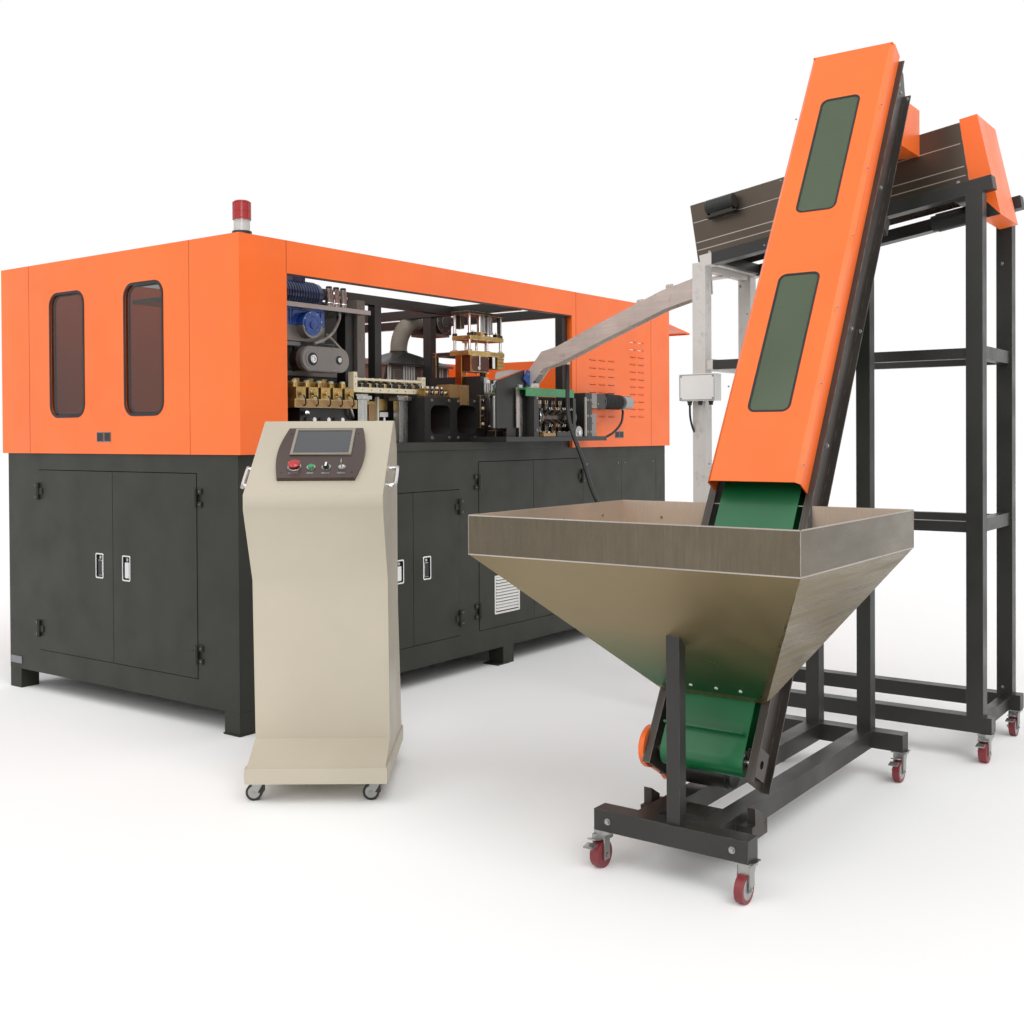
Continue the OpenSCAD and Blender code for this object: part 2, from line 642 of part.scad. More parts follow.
// Loader drum: shaft with two discs and six rows of preform grippers
drum_r = 58;
module loader_drum() color(c_steel) {
  rod_x([ld_x0 + 2, ld_y, ld_z], ld_x1 - ld_x0 + 36, ld_shaft_r);
  for (x = [ld_x0 + 90, ld_x1 - 90]) rod_x([x, ld_y, ld_z], 20, drum_r);
  rod_x([ld_x0 + 110, ld_y, ld_z], ld_x1 - ld_x0 - 200, 30);
  translate([0, ld_y, ld_z]) for (a = [0:60:300]) rotate([a, 0, 0]) for (i = [0:3])
    slab([ld_x0 + 128 + i * 66, -6, 28], [ld_x0 + 158 + i * 66, 6, 76]);
}

// Servo motor with its gearhead and pale end cap, axis along the machine
sv_z = base_h + 267;
sv_x = 2508;
module servo_motor() color("#3b3b3a") {
  slab([sv_x, ld_y - 43, sv_z - 43], [sv_x + 112, ld_y + 43, sv_z + 43]);
  rod_x([sv_x + 112, ld_y, sv_z], 14, 46);
  rod_x([sv_x + 126, ld_y, sv_z], 236, 40);
  rod_x([sv_x + 362, ld_y, sv_z], 96, 36);
  rod_z([sv_x + 382, ld_y, sv_z - 46], 20, 10);
}

// A round cord: points of a smooth route, then rings swept along it
function spline(p, i, t) = let(
  a = p[max(i - 1, 0)], b = p[i], c = p[i + 1], d = p[min(i + 2, len(p) - 1)])
  0.5 * (2 * b + (c - a) * t + (2 * a - 5 * b + 4 * c - d) * t * t + (3 * b - a - 3 * c + d) * t * t * t);
function route(p, n) = concat([for (i = [0:len(p) - 2], k = [0:n - 1]) spline(p, i, k / n)], [p[len(p) - 1]]);
function unit(v) = v / norm(v);
function ends(p) = [unit(p[1] - p[0]), unit(p[len(p) - 1] - p[len(p) - 2])];
function along(q, i) = i == 0 ? unit(q[1] - q[0])
  : i == len(q) - 1 ? unit(q[i] - q[i - 1]) : unit(q[i + 1] - q[i - 1]);
cord_sides = 10;
module cord(p, n, r, ref) {
  q = route(p, n);
  m = len(q);
  pts = [for (i = [0:m - 1]) let(t = i == 0 ? ends(p)[0] : i == m - 1 ? ends(p)[1] : along(q, i),
      u = unit(cross(ref, t)), v = cross(t, u))
    for (j = [0:cord_sides - 1]) q[i] + r * (u * cos(360 * j / cord_sides) + v * sin(360 * j / cord_sides))];
  sides = [for (i = [0:m - 2], j = [0:cord_sides - 1]) let(a = i * cord_sides + j,
      b = i * cord_sides + (j + 1) % cord_sides)
    each [[a, a + cord_sides, b + cord_sides], [a, b + cord_sides, b]]];
  polyhedron(points = pts, faces = concat([[for (j = [0:cord_sides - 1]) j]], sides,
    [[for (j = [cord_sides - 1:-1:0]) (m - 1) * cord_sides + j]]), convexity = 6);
}

// Power cord of the servo motor: from the plug under the motor to the gland on the loader base
cable_r = 7;
gland_z = bed_z + 12.5;
cable_pts = [[sv_x + 382, ld_y, sv_z - 46], [sv_x + 382, ld_y, sv_z - 72], [sv_x + 350, ld_y - 6, base_h + 140],
  [sv_x + 260, ld_y - 10, base_h + 88], [sv_x + 165, ld_y - 4, base_h + 56], [2630, ld_y, gland_z], [2594, ld_y, gland_z]];
module servo_cable() color("#1b1b1a") {
  cord(cable_pts, 7, cable_r, [0, 1, 0]);
  rod_x([2580, ld_y, gland_z], 14, 11);
}

// Compressed air receiver lying on saddles in the base
tank_r = 190;
module air_receiver() color(c_blue) {
  tz = foot_h + base_wall + 60 + tank_r;
  rod_x([700, 1150, tz], 1500, tank_r);
  for (x = [680, 2200]) rod_x([x, 1150, tz], 20, tank_r - 30);
  for (x = [900, 1950]) difference() {
    slab([x, 1020, foot_h + base_wall], [x + 60, 1280, tz - 100]);
    rod_x([x - 1, 1150, tz], 62, tank_r - 1);
  }
}

// Console frame: x across its front, y towards its back, standing at a slant before the corner
con_r = -53.87;
con_x = con_off * cos(243.9);
con_y = con_off * sin(243.9);
module console_frame() translate([con_x, con_y, 0]) rotate([0, 0, con_r]) children();

// Desk slope of the console: y up the slope, z out of it
desk_y = -19;
desk_z = con_h - 246;
desk_a = atan2(con_h - desk_z, 352);
module desk() translate([0, desk_y, desk_z]) rotate([desk_a, 0, 0]) children();
con_foot = 74;
con_back = 450;
con_rear = 560;
con_lip = 52;
con_door_z = 650;
con_door_w = 390;
con_door_h = 480;
con_out = [[0, con_foot], [0, 126], [140, 188], [112, 735], [desk_y, desk_z - 49], [desk_y, desk_z], [333, con_h],
  [con_back - 70, con_h], [con_back, con_h - 98], [con_back, 600], [con_rear, 125], [con_rear, con_foot]];
con_in = [[14, con_foot + 12], [14, 117], [154, 180], [126, 740], [-7, desk_z - 42], [-7, desk_z - 6],
  [338, con_h - 14], [con_back - 76, con_h - 14], [con_back - 12, con_h - 104], [con_back - 12, 597],
  [con_rear - 14, 117], [con_rear - 14, con_foot + 12]];
module side_sheet(x, w) translate([x, 0, 0]) rotate([90, 0, 90]) linear_extrude(w) children();
module back_hinge() translate([con_door_w / 2, con_back, con_door_z]) rotate([0, 0, 180]) children();

// Operator console: folded hollow body on four casters, with side handles and a rear opening
fascia_w = 150;
fascia_y0 = 75;
fascia_h = 290;
fascia_t = 14;
module console_body() color(c_beige) console_frame() {
  difference() {
    side_sheet(-con_w / 2, con_w) polygon(con_out);
    side_sheet(-con_w / 2 + 8, con_w - 16) polygon(con_in);
    back_hinge() slab([0, -1, 0], [con_door_w, 14, con_door_h]);
    desk() slab([-fascia_w + 22, fascia_y0 + 22, -20], [fascia_w - 22, fascia_y0 + fascia_h - 22, 1]);
  }
  difference() {
    slab([-con_w / 2 - 6, -6, con_foot], [con_w / 2 + 6, con_rear, con_foot + con_lip]);
    slab([-con_w / 2 + 8, 8, con_foot + 12], [con_w / 2 - 8, con_rear - 8, con_foot + con_lip + 1]);
  }
  back_hinge() hinge_fixed(con_door_h);
  for (s = [-1, 1]) desk() {
    translate([s * 258, 105, -48]) rotate([-90, 0, 0]) cylinder(h = 110, r = 7);
    for (y = [112, 208]) translate([s * (con_w / 2 + 14), y, -48]) rotate([0, 90, 0])
      cylinder(h = 30, r = 7, center = true);
  }
  for (x = [-197, 197], y = [70, con_rear - 62]) translate([x, y, 0]) caster_fixed(28, con_foot);
}
module console_door() color(c_beige) console_frame() back_hinge() door_leaf(con_door_w, con_door_h, 200);

// Control panel on the desk: bowed bezel, screen and the collars of the four controls
con_stop = [-78, 130];
con_start = [-22, 130];
con_select = [29, 130];
con_key = [82, 130];
module bore(p, r, h) translate([p[0], p[1], -1]) cylinder(h = h, r = r + fit);
module console_fascia() color(c_black) console_frame() desk() difference() {
  union() {
    linear_extrude(fascia_t) polygon([
      for (k = [0:8]) [fascia_w - 20 + 20 * sin(k * 22.5), fascia_y0 + k * fascia_h / 8],
      for (k = [8:-1:0]) [-fascia_w + 20 - 20 * sin(k * 22.5), fascia_y0 + k * fascia_h / 8]]);
    slab([-105, 200, fascia_t], [105, 355, fascia_t + 5]);
    translate([con_stop[0], con_stop[1], fascia_t]) cylinder(h = 5, r = 23);
    translate([con_start[0], con_start[1], fascia_t]) cylinder(h = 4, r = 15);
    translate([con_select[0], con_select[1], fascia_t]) cylinder(h = 4, r = 16);
    translate([con_key[0], con_key[1], fascia_t]) cylinder(h = 4, r = 13);
  }
  slab([-95, 210, fascia_t + 2], [95, 345, fascia_t + 6]);
  bore(con_stop, 11, 30);
  bore(con_start, 10, 30);
  bore(con_select, 11, 30);
  bore(con_key, 8, 30);
}
module emergency_stop() color("#c01a18") console_frame() desk() translate([con_stop[0], con_stop[1], -6]) {
  cylinder(h = 32, r = 11);
  translate([0, 0, 32]) cylinder(h = 7, r1 = 16, r2 = 20);
  translate([0, 0, 39]) cylinder(h = 6, r1 = 20, r2 = 13);
}
module start_button() color("#128a4a") console_frame() desk() translate([con_start[0], con_start[1], -6])
  cylinder(h = 29, r = 10);
module selector_switch() color("#1b1b1a") console_frame() desk() translate([con_select[0], con_select[1], -6]) {
  cylinder(h = 28, r = 11);
  slab([-4, -11, 28], [4, 11, 36]);
}
module key_switch() color(c_steel) console_frame() desk() translate([con_key[0], con_key[1], -6]) {
  cylinder(h = 27, r = 8);
  slab([-1.5, -8, 27], [1.5, 8, 48]);
}

// Casters. Fixed ones are one solid; the moving ones have a swivel fork and a wheel.
module caster_fixed(r, h) {
  rod_z([0, 0, h - 6], 6, 28);
  slab([-24, -16, r], [10, 16, h - 6]);
  rod_y([-22, -12, r], 24, r);
}
fork_gap = 0.3;
module fork(r, h) {
  rod_z([0, 0, h - 12], 40, 10);
  rod_z([0, 0, h - 12], 12 - fork_gap, 30);
  difference() {
    union() for (s = [-1, 1]) {
      slab([-34, s > 0 ? 17 : -21, 2 * r + 3], [12, s > 0 ? 21 : -17, h - 12]);
      slab([-34, s > 0 ? 17 : -21, r - 14], [-6, s > 0 ? 21 : -17, 2 * r + 3]);
    }
    rod_y([-20, -22, r], 44, 7 + fit);
  }
  slab([-34, -21, 2 * r + 6], [12, 21, h - 12]);
}
module wheel(r) {
  rod_y([-20, -15, r], 30, r);
  rod_y([-20, -22, r], 44, 7);
}

// Climb frame of the elevator: x up the climb, z out of its front
el_x = 198;
el_y = -2150;
el_z = 1077;
module climb() translate([el_x, el_y, el_z]) rotate([0, -el_a, 0]) children();
stand_z = 105;
stand_x0 = -350;
stand_x1 = 990;
stand_half = 235;
head_s = el_l - 85;
tail_s = -830;
roll_t = -121.5;
shaft_r = 12;
chan_y = 150;
chan_w = 25;
web_t = 4;
chan_s0 = -890;
chan_s1 = el_l - 25;
chan_t1 = -el_cover_d - 5;
chan_t0 = chan_t1 - el_chan_d;

// Elevator frame: two C channels, ties between the belt runs, and the welded tube stand
module elevator_frame() color("#4b4742") {
  difference() {
    climb() for (s = [-1, 1]) mirror([0, s > 0 ? 0 : 1, 0]) {
      slab([chan_s0, chan_y, chan_t0], [chan_s1, chan_y + web_t, chan_t1]);
      for (t = [chan_t0, chan_t1 - web_t]) slab([chan_s0, chan_y + web_t, t], [chan_s1, chan_y + chan_w, t + web_t]);
      slab([tail_s - 40, chan_y + web_t, roll_t - 35], [tail_s + 40, chan_y + chan_w - 6, roll_t + 35]);
    }
    climb() for (s = [head_s, tail_s]) rod_y([s, -chan_y - chan_w, roll_t], 2 * (chan_y + chan_w), shaft_r + fit);
    climb() translate([chan_s1 - 60, -200, chan_t0]) rotate([0, 45, 0]) cube([120, 400, 120]);
  }
  climb() for (s = [-250, 500, 1250]) slab([s, -chan_y, roll_t - 20], [s + 40, chan_y, roll_t + 20]);
  difference() {
    for (x = [stand_x0, stand_x1 - tube_w]) slab([x, el_y - stand_half, stand_z], [x + tube_w, el_y + stand_half,
      stand_z + tube_w]);
    rod_z([stand_x0 + 31, el_y + 219, stand_z - 1], 40, 10 + fit);
  }
  for (s = [-1, 1]) {
    slab([stand_x0 + tube_w, el_y + s * 95 - tube_w / 2, stand_z], [stand_x1 - tube_w, el_y + s * 95 + tube_w / 2,
      stand_z + tube_w]);
    difference() {
      slab([stand_x1 - 55, el_y + s * 95 - 25, stand_z + tube_w], [stand_x1 - 5, el_y + s * 95 + 25, base_h + 950]);
      climb() slab([0, -200, chan_t0 - 1], [2000, 200, 1000]);
    }
  }
  slab([-190, el_y - chan_y - chan_w, stand_z], [-90, el_y + chan_y + chan_w, stand_z + 40]);
  difference() {
    for (s = [-1, 1]) slab([-170, el_y + s * 162.5 - 12.5, stand_z + 40], [-120, el_y + s * 162.5 + 12.5, 330]);
    climb() slab([chan_s0 - 60, -200, chan_t0], [200, 200, 200]);
  }
  climb() slab([1113, -chan_y - chan_w, chan_t0 - 40], [1173, chan_y + chan_w, chan_t0]);
  difference() {
    slab([stand_x0 + 10, el_y - 32, stand_z + tube_w], [stand_x0 + 46, el_y + 8, 740]);
    funnel(0);
  }
  for (p = [[stand_x0 + 31, -219], [stand_x1 - 31, -219], [stand_x1 - 31, 219]])
    translate([p[0], el_y + p[1], 0]) caster_fixed(wheel_r, stand_z);
}

// Hopper: upright band, funnel to the slanted throat, notched round the side channels
hop_x1 = 250;
hop_y = -2145;
throat_w = 165;
throat_s0 = -669;
throat_s1 = -190;
lip_t = -32;
module funnel(d) hull() {
  slab([hop_x1 - hop_l + d, hop_y - hop_w / 2 + d, hop_z - hop_band], [hop_x1 - d, hop_y + hop_w / 2 - d,
    hop_z - hop_band + 1]);
  climb() slab([throat_s0 + d, -throat_w + d, chan_t1 - (d > 0 ? 3 : 0)], [throat_s1 - d, throat_w - d, chan_t1 + 1]);
  climb() slab([throat_s0 + d, -throat_w + d, chan_t1], [throat_s0 + d + 1, throat_w - d, lip_t - d]);
}
module hopper() color(c_steel) difference() {
  union() {
    funnel(0);
    slab([hop_x1 - hop_l, hop_y - hop_w / 2, hop_z - hop_band], [hop_x1, hop_y + hop_w / 2, hop_z]);
  }
  funnel(hop_t);
  slab([hop_x1 - hop_l + hop_t, hop_y - hop_w / 2 + hop_t, hop_z - hop_band], [hop_x1 - hop_t,
    hop_y + hop_w / 2 - hop_t, hop_z + 1]);
  climb() slab([-900, -chan_y - chan_w - 1, -400], [600, chan_y + chan_w + 1, chan_t1]);
}

// Elevator cover: folded front pan with two windows and bevelled outer edges
cover_t = 4;
cover_wins = [[255, 790], [1063, 1578]];
module elevator_cover() color(c_orange) climb() difference() {
  union() {
    slab([0, -el_w / 2, -cover_t], [el_l, el_w / 2, 0]);
    for (s = [-1, 1]) mirror([0, s > 0 ? 0 : 1, 0]) rotate([90, 0, 90]) linear_extrude(el_l)
      polygon([[el_w / 2, 0], [el_w / 2 + 14.5, -14], [el_w / 2 + 14.5, chan_t1], [el_w / 2 + 10.5, chan_t1],
        [el_w / 2 + 10.5, -13], [el_w / 2 - 1, -cover_t + 1]]);
    slab([el_l - cover_t, -el_w / 2 - 10, -el_cover_d], [el_l, el_w / 2 + 10, 0]);
  }
  for (w = cover_wins) translate([(w[0] + w[1]) / 2, 0, -cover_t - 1]) linear_extrude(cover_t + 2)
    round_rect(w[1] - w[0], 136, 22);
}
module cover_windows() color("#12402a") climb() for (w = cover_wins)
  translate([(w[0] + w[1]) / 2, 0, -cover_t]) linear_extrude(3) round_rect(w[1] - w[0], 136, 22);

// Cleated belt round both rollers
belt_gap = 0.35;
belt_t = 3;
belt_w = 130;
cleat_h = 28;
module belt_loop(r, w) {
  slab([tail_s, -w, roll_t - r], [head_s, w, roll_t + r]);
  for (s = [tail_s, head_s]) rod_y([s, -w, roll_t], 2 * w, r);
}
module elevator_belt() color(c_green) climb() {
  difference() {
    belt_loop(el_roll_r + belt_gap + belt_t, belt_w);
    belt_loop(el_roll_r + belt_gap, belt_w + 1);
  }
  for (k = [0:11]) {
    slab([tail_s + 60 + k * 210, -belt_w + 5, roll_t + el_roll_r + belt_t], [tail_s + 66 + k * 210, belt_w - 5,
      roll_t + el_roll_r + belt_t + cleat_h]);
    slab([tail_s + 160 + k * 210, -belt_w + 5, roll_t - el_roll_r - belt_t - cleat_h], [tail_s + 166 + k * 210,
      belt_w - 5, roll_t - el_roll_r - belt_t]);
  }
}
module roller(s) climb() {
  rod_y([s, -belt_w, roll_t], 2 * belt_w, el_roll_r);
  rod_y([s, -chan_y - web_t, roll_t], 2 * (chan_y + web_t), shaft_r);
}
module head_roller() color(c_steel) roller(head_s);
module tail_roller() color(c_steel) roller(tail_s);

// Drive at the foot of the elevator: oblong belt guard on the channel, motor hanging behind it
drive_t = -262;
guard_t = 18;
module elevator_drive() color(c_orange) climb() {
  rod_y([tail_s, chan_y + chan_w, roll_t], guard_t, 62);
  rod_y([tail_s - 10, chan_y + chan_w, drive_t], guard_t, 50);
  slab([tail_s - 54, chan_y + chan_w, drive_t], [tail_s + 40, chan_y + chan_w + guard_t, roll_t]);
  rod_y([tail_s - 10, -20, drive_t], chan_y + chan_w + 20, 45);
  rod_y([tail_s - 10, -34, drive_t], 14, 40);
}

// Discharge hood under the elevator head: a sloping floor between side walls
sort_x = 1600;
hood_x0 = 1240;
hood_x1 = sort_x - sort_w / 2;
hood_half = 140;
module discharge_hood() color(c_orange) {
  difference() {
    slab([hood_x0, el_y - hood_half, 2300], [hood_x1, el_y + hood_half, 2480]);
    plate_xz(el_y - hood_half + 4, 2 * hood_half - 8) polygon([[hood_x0 - 1, 2440], [hood_x1 + 1, 2388],
      [hood_x1 + 1, 2490], [hood_x0 - 1, 2490]]);
  }
  climb() for (s = [-1, 1]) slab([1640, s > 0 ? hood_half - 4 : -chan_y, -265], [1730, s > 0 ? chan_y : 4 - hood_half,
    chan_t0 + 60]);
}

// Tower: four posts on two long tubes, cross ties, and the sorter rests
tow_x0 = 1350;
tow_x1 = tow_x0 + tow_l - 40;
tow_w = sort_l - 10;
tow_y1 = -1390;
tow_y0 = tow_y1 - tow_w + 20;
sort_y = -1294;
sort_z = 2232;
sort_d = 255;
tow_z = 105;
function sort_under(y) = sort_z + (sort_y - y) * tan(sort_a) - sort_d / cos(sort_a);
module post(x, y, z0, z1, w) slab([x, y - w / 2, z0], [x + w, y + w / 2, z1]);
module tower_frame() color("#33312e") {
  for (x = [tow_x0, tow_x1]) {
    difference() {
      slab([x, tow_y0 - 60, tow_z], [x + tube_w, tow_y1 + 60, tow_z + tube_w]);
      rod_z([tow_x0 + 24, tow_y0 - 34, tow_z - 1], 40, 10 + fit);
    }
    post(x, tow_y0, tow_z + tube_w, sort_under(tow_y0) - 30, tube_w);
    post(x, tow_y1, tow_z + tube_w, sort_under(tow_y1) - 30, tube_w);
    sorter() slab([x - sort_x + 1, -sort_l - 102, -sort_d - 50], [x - sort_x + tube_w - 1, -60, -sort_d]);
    for (z = [base_h - 300, base_h + 350]) slab([x + 10, tow_y0 + tube_w / 2, z], [x + 50, tow_y1 - tube_w / 2, z + 40]);
  }
  for (y = [tow_y0, tow_y1], z = [tow_z, base_h - 300, base_h + 350])
    slab([tow_x0 + tube_w, y - 20, z], [tow_x1, y + 20, z + 50]);
  slab([tow_x0 + tube_w, tow_y1 - 20, sort_under(tow_y1) - 60], [tow_x1, tow_y1 + 20, sort_under(tow_y1) - 20]);
  for (y = [-70 - tube_w, 20 - sort_l]) sorter() slab([tow_x0 - sort_x + tube_w - 5, y, -sort_d - 45],
    [tow_x1 - sort_x + 5, y + tube_w - 20, -sort_d]);
  translate([tow_x0, tow_y1 + tube_w / 2, 880]) rotate([-90, 0, 0]) translate([30, 0, 0]) cylinder(h = 15, r = 16);
  for (p = [[tow_x1 + 30, tow_y0 - 34], [tow_x0 + 24, tow_y1 + 34], [tow_x1 + 30, tow_y1 + 34]])
    translate([p[0], p[1], 0]) caster_fixed(wheel_r, tow_z);
}

// Sorter frame: y runs from the low end back to -sort_l at the high end
module sorter() translate([sort_x, sort_y, sort_z]) rotate([-sort_a, 0, 0]) children();
roll_z = -160;
roll_dx = sort_roll_r + 9;
roll_shaft_r = 9;
end_t = 8;
module sorter_trough() color(c_steel) sorter() {
  difference() {
    union() {
      for (s = [-1, 1]) mirror([s > 0 ? 0 : 1, 0, 0]) {
        slab([sort_w / 2 - 4, -sort_l, -sort_d], [sort_w / 2, 0, 0]);
        slab([sort_w / 2 - 22, -sort_l, -4], [sort_w / 2 - 4, 0, 0]);
        rotate([90, 0, 0]) linear_extrude(sort_l)
          polygon([[sort_w / 2 - 4, -40], [sort_w / 2 - 4, -45], [86, roll_z + 22], [82, roll_z + 26]]);
      }
      for (y = [-end_t, -sort_l]) slab([-sort_w / 2 + 4, y, -sort_d], [sort_w / 2 - 4, y + end_t, -60]);
      slab([-sort_w / 2 + 4, -60, -sort_d], [sort_w / 2 - 4, -end_t, -sort_d + 8]);
    }
    for (s = [-1, 1]) rod_y([s * roll_dx, -sort_l - 1, roll_z], sort_l + 2, roll_shaft_r + fit);
  }
  slab([-sort_w / 2 - 50, -230, -90], [-sort_w / 2, -90, -84]);
  slab([-sort_w / 2 - 48, -215, -84], [-sort_w / 2 - 16, -110, -60]);
  rod_y([-sort_w / 2 - 34, -225, -44], 130, 32);
}
module sort_roller(s) sorter() {
  rod_y([s * roll_dx, -sort_l + end_t + 1, roll_z], sort_l - 2 * end_t - 2, sort_roll_r);
  rod_y([s * roll_dx, -sort_l, roll_z], sort_l, roll_shaft_r);
}
module sorter_roller_front() color(c_steel) sort_roller(-1);
module sorter_roller_back() color(c_steel) sort_roller(1);

// End cover over the sorter drive, with the black motor hanging at its near side
module sorter_end_cover() color(c_orange) sorter() {
  difference() {
    rotate([90, 0, 90]) translate([0, 0, -sort_w / 2]) linear_extrude(sort_w)
      polygon([[-sort_l, -sort_d], [-sort_l, 12], [-sort_l - 66, 12], [-sort_l - 90, -sort_d - 130],
        [-sort_l - 20, -sort_d - 130]]);
    rotate([90, 0, 90]) translate([0, 0, -sort_w / 2 + 4]) linear_extrude(sort_w - 8)
      polygon([[-sort_l + 1, -sort_d + 4], [-sort_l + 1, 8], [-sort_l - 62, 8], [-sort_l - 85, -sort_d - 126],
        [-sort_l - 15, -sort_d - 126]]);
  }
  rod_y([-sort_w / 2 + 50, -sort_l - 85, -sort_d - 92], 235, 36);
  rod_y([-sort_w / 2 + 50, -sort_l + 150, -sort_d - 92], 20, 31);
}

// White switch box on the left tower post
box_z = base_h + 215;
module control_box() color("#e9e7e2") slab([tow_x0 - 60, tow_y1 - 105, box_z], [tow_x0, tow_y1 + 65, box_z + 115]);

// Feed chute: two side sheets joined by spacers, bent down in four steps to the loader
ch_x = 1620;
ch_y = -1300;
ch_dir = 75.96;
ch_hi = sort_under(tow_y1) - 38.8;
ch_lo = base_h + 412;
ch_bend = [[0, 1], [83, 0.9485], [256, 0.866], [446, 0.7268], [699, 0.5412], [997, 0.3067], [1114, 0.2577], [1225, 0]];
ch_top = [for (b = ch_bend) [b[0], ch_lo + b[1] * (ch_hi - ch_lo)]];
ch_h = 90;
ch_half = 28;
ch_sheet = 4;
ch_plug_z = ch_top[5][1] - 91;
module chute_frame() translate([ch_x, ch_y, 0]) rotate([0, 0, ch_dir]) children();
module chute() color(c_steel) chute_frame() {
  for (y = [-ch_half, ch_half - ch_sheet]) plate_xz(y, ch_sheet)
    polygon([for (p = ch_top) p, for (k = [len(ch_top) - 1:-1:0]) [ch_top[k][0] - 6, ch_top[k][1] - ch_h]]);
  for (k = [0:6]) let(p = ch_top[k], q = ch_top[k + 1]) rod_y([(p[0] + q[0]) / 2, -ch_half + ch_sheet,
    (p[1] + q[1]) / 2 - 62], 2 * (ch_half - ch_sheet), 7);
  rod_y([1114, -ch_half - 12, ch_top[6][1] - 22], 12, 28);
  for (p = [ch_top[2], ch_top[3]]) {
    slab([p[0] - 16, -ch_half - 6, p[1] - 60], [p[0] + 16, -ch_half, p[1] + 34]);
    rod_y([p[0], -ch_half - 18, p[1] + 20], 36, 11);
  }
  rod_z([985, -ch_half - 13, ch_plug_z], 22, 13);
  slab([976, -ch_half - 13, ch_plug_z + 8], [994, -ch_half, ch_plug_z + 22]);
  slab([-110, -ch_half, sort_under(tow_y1) - 68], [20, ch_half, sort_under(tow_y1) - 60]);
  slab([1195, -ch_half, base_h + 300], [1213, ch_half, ch_lo - 62]);
}
hose_r = 11;
hose_top = [ch_x + 985 * cos(ch_dir) + (ch_half + 13) * sin(ch_dir), ch_y + 985 * sin(ch_dir) - (ch_half + 13) * cos(ch_dir),
  ch_plug_z];
gland_x = tow_x0 + 30;
gland_y = tow_y1 + 45;
hose_pts = [hose_top, hose_top - [0, 0, 90], [1856, -390, 1300], [1796, -510, 1100], [1690, -660, 900],
  [1590, -850, 790], [1460, -1120, 815], [gland_x, gland_y + 50, 880], [gland_x, gland_y, 880]];
module chute_hose() color("#1b1b1a") cord(hose_pts, 8, hose_r, [0.905, -0.425, 0]);

// Moving casters: the front left one of the stand and the near right one of the tower
module at_stand_caster() translate([stand_x0 + 31, el_y + 219, 0]) children();
module at_tower_caster() translate([tow_x0 + 24, tow_y0 - 34, 0]) children();
module stand_fork() color(c_grey) at_stand_caster() fork(wheel_r, stand_z);
module stand_wheel() color("#8a1f22") at_stand_caster() wheel(wheel_r);
module tower_fork() color(c_grey) at_tower_caster() fork(wheel_r, tow_z);
module tower_wheel() color("#8a1f22") at_tower_caster() wheel(wheel_r);

base_frame();
base_shell();
bed_plate();
enclosure();
end_windows();
beacon_lamp();
inner_frame();
oven();
exhaust_duct();
heater_lamps();
main_gearbox();
belt_cover();
valve_manifold();
clamp_housing();
stretch_frame();
loader_frame();
loader_guard();
servo_motor();
servo_cable();
air_receiver();
end_door_left();
end_door_right();
side_door_1_left();
side_door_1_right();
side_door_2_left();
side_door_2_right();
outfeed_flap();
platen_left();
platen_right();
stretch_carriage();
transfer_bar();
loader_drum();
console_body();
console_fascia();
console_door();
emergency_stop();
start_button();
selector_switch();
key_switch();
elevator_frame();
hopper();
elevator_cover();
cover_windows();
elevator_belt();
head_roller();
tail_roller();
elevator_drive();
discharge_hood();
tower_frame();
sorter_trough();
sorter_roller_front();
sorter_roller_back();
sorter_end_cover();
control_box();
chute();
chute_hose();
stand_fork();
stand_wheel();
tower_fork();
tower_wheel();
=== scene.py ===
import json
from math import atan2, cos, degrees, pi, radians, sin

import bmesh
import bpy
from mathutils import Matrix, Vector

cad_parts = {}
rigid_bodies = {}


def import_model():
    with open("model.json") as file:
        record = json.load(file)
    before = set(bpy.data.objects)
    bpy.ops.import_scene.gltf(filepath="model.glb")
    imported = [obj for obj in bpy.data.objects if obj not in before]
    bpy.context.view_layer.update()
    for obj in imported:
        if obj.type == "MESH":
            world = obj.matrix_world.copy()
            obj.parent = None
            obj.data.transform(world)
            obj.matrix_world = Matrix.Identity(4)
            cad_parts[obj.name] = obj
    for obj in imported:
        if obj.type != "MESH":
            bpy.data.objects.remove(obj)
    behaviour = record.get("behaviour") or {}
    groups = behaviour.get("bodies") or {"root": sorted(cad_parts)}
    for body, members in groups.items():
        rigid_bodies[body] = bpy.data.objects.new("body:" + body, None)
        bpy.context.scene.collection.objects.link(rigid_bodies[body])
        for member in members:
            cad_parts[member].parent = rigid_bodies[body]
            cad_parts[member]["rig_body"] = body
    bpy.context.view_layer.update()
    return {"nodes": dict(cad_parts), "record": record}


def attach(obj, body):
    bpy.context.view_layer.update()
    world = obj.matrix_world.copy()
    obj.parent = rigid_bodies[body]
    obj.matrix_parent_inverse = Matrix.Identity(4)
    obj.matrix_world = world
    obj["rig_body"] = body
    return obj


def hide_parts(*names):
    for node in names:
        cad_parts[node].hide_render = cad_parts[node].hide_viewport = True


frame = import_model()
NODES = frame["nodes"]
SLOT_OF = {s["node"]: s["material_slot"] for s in frame["record"]["subparts"]}
BODY_OF = {n: o["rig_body"] for n, o in NODES.items()}
MM = 0.001
UP, FRONT, END = (0, 0, 1), (0, -1, 0), (-1, 0, 0)

# Camera
PHOTO = 1024
SENSOR = 36
FOCAL = 1143.05
CENTRE = (512.0, 447.29)
EYE = Vector((-3.0925, -3.6366, 1.2243))
YAW, PITCH, ROLL = radians(36.1306), radians(-0.6133), radians(-0.3274)


def add_object(name, data):
    obj = bpy.data.objects.new(name, data)
    bpy.context.scene.collection.objects.link(obj)
    return obj


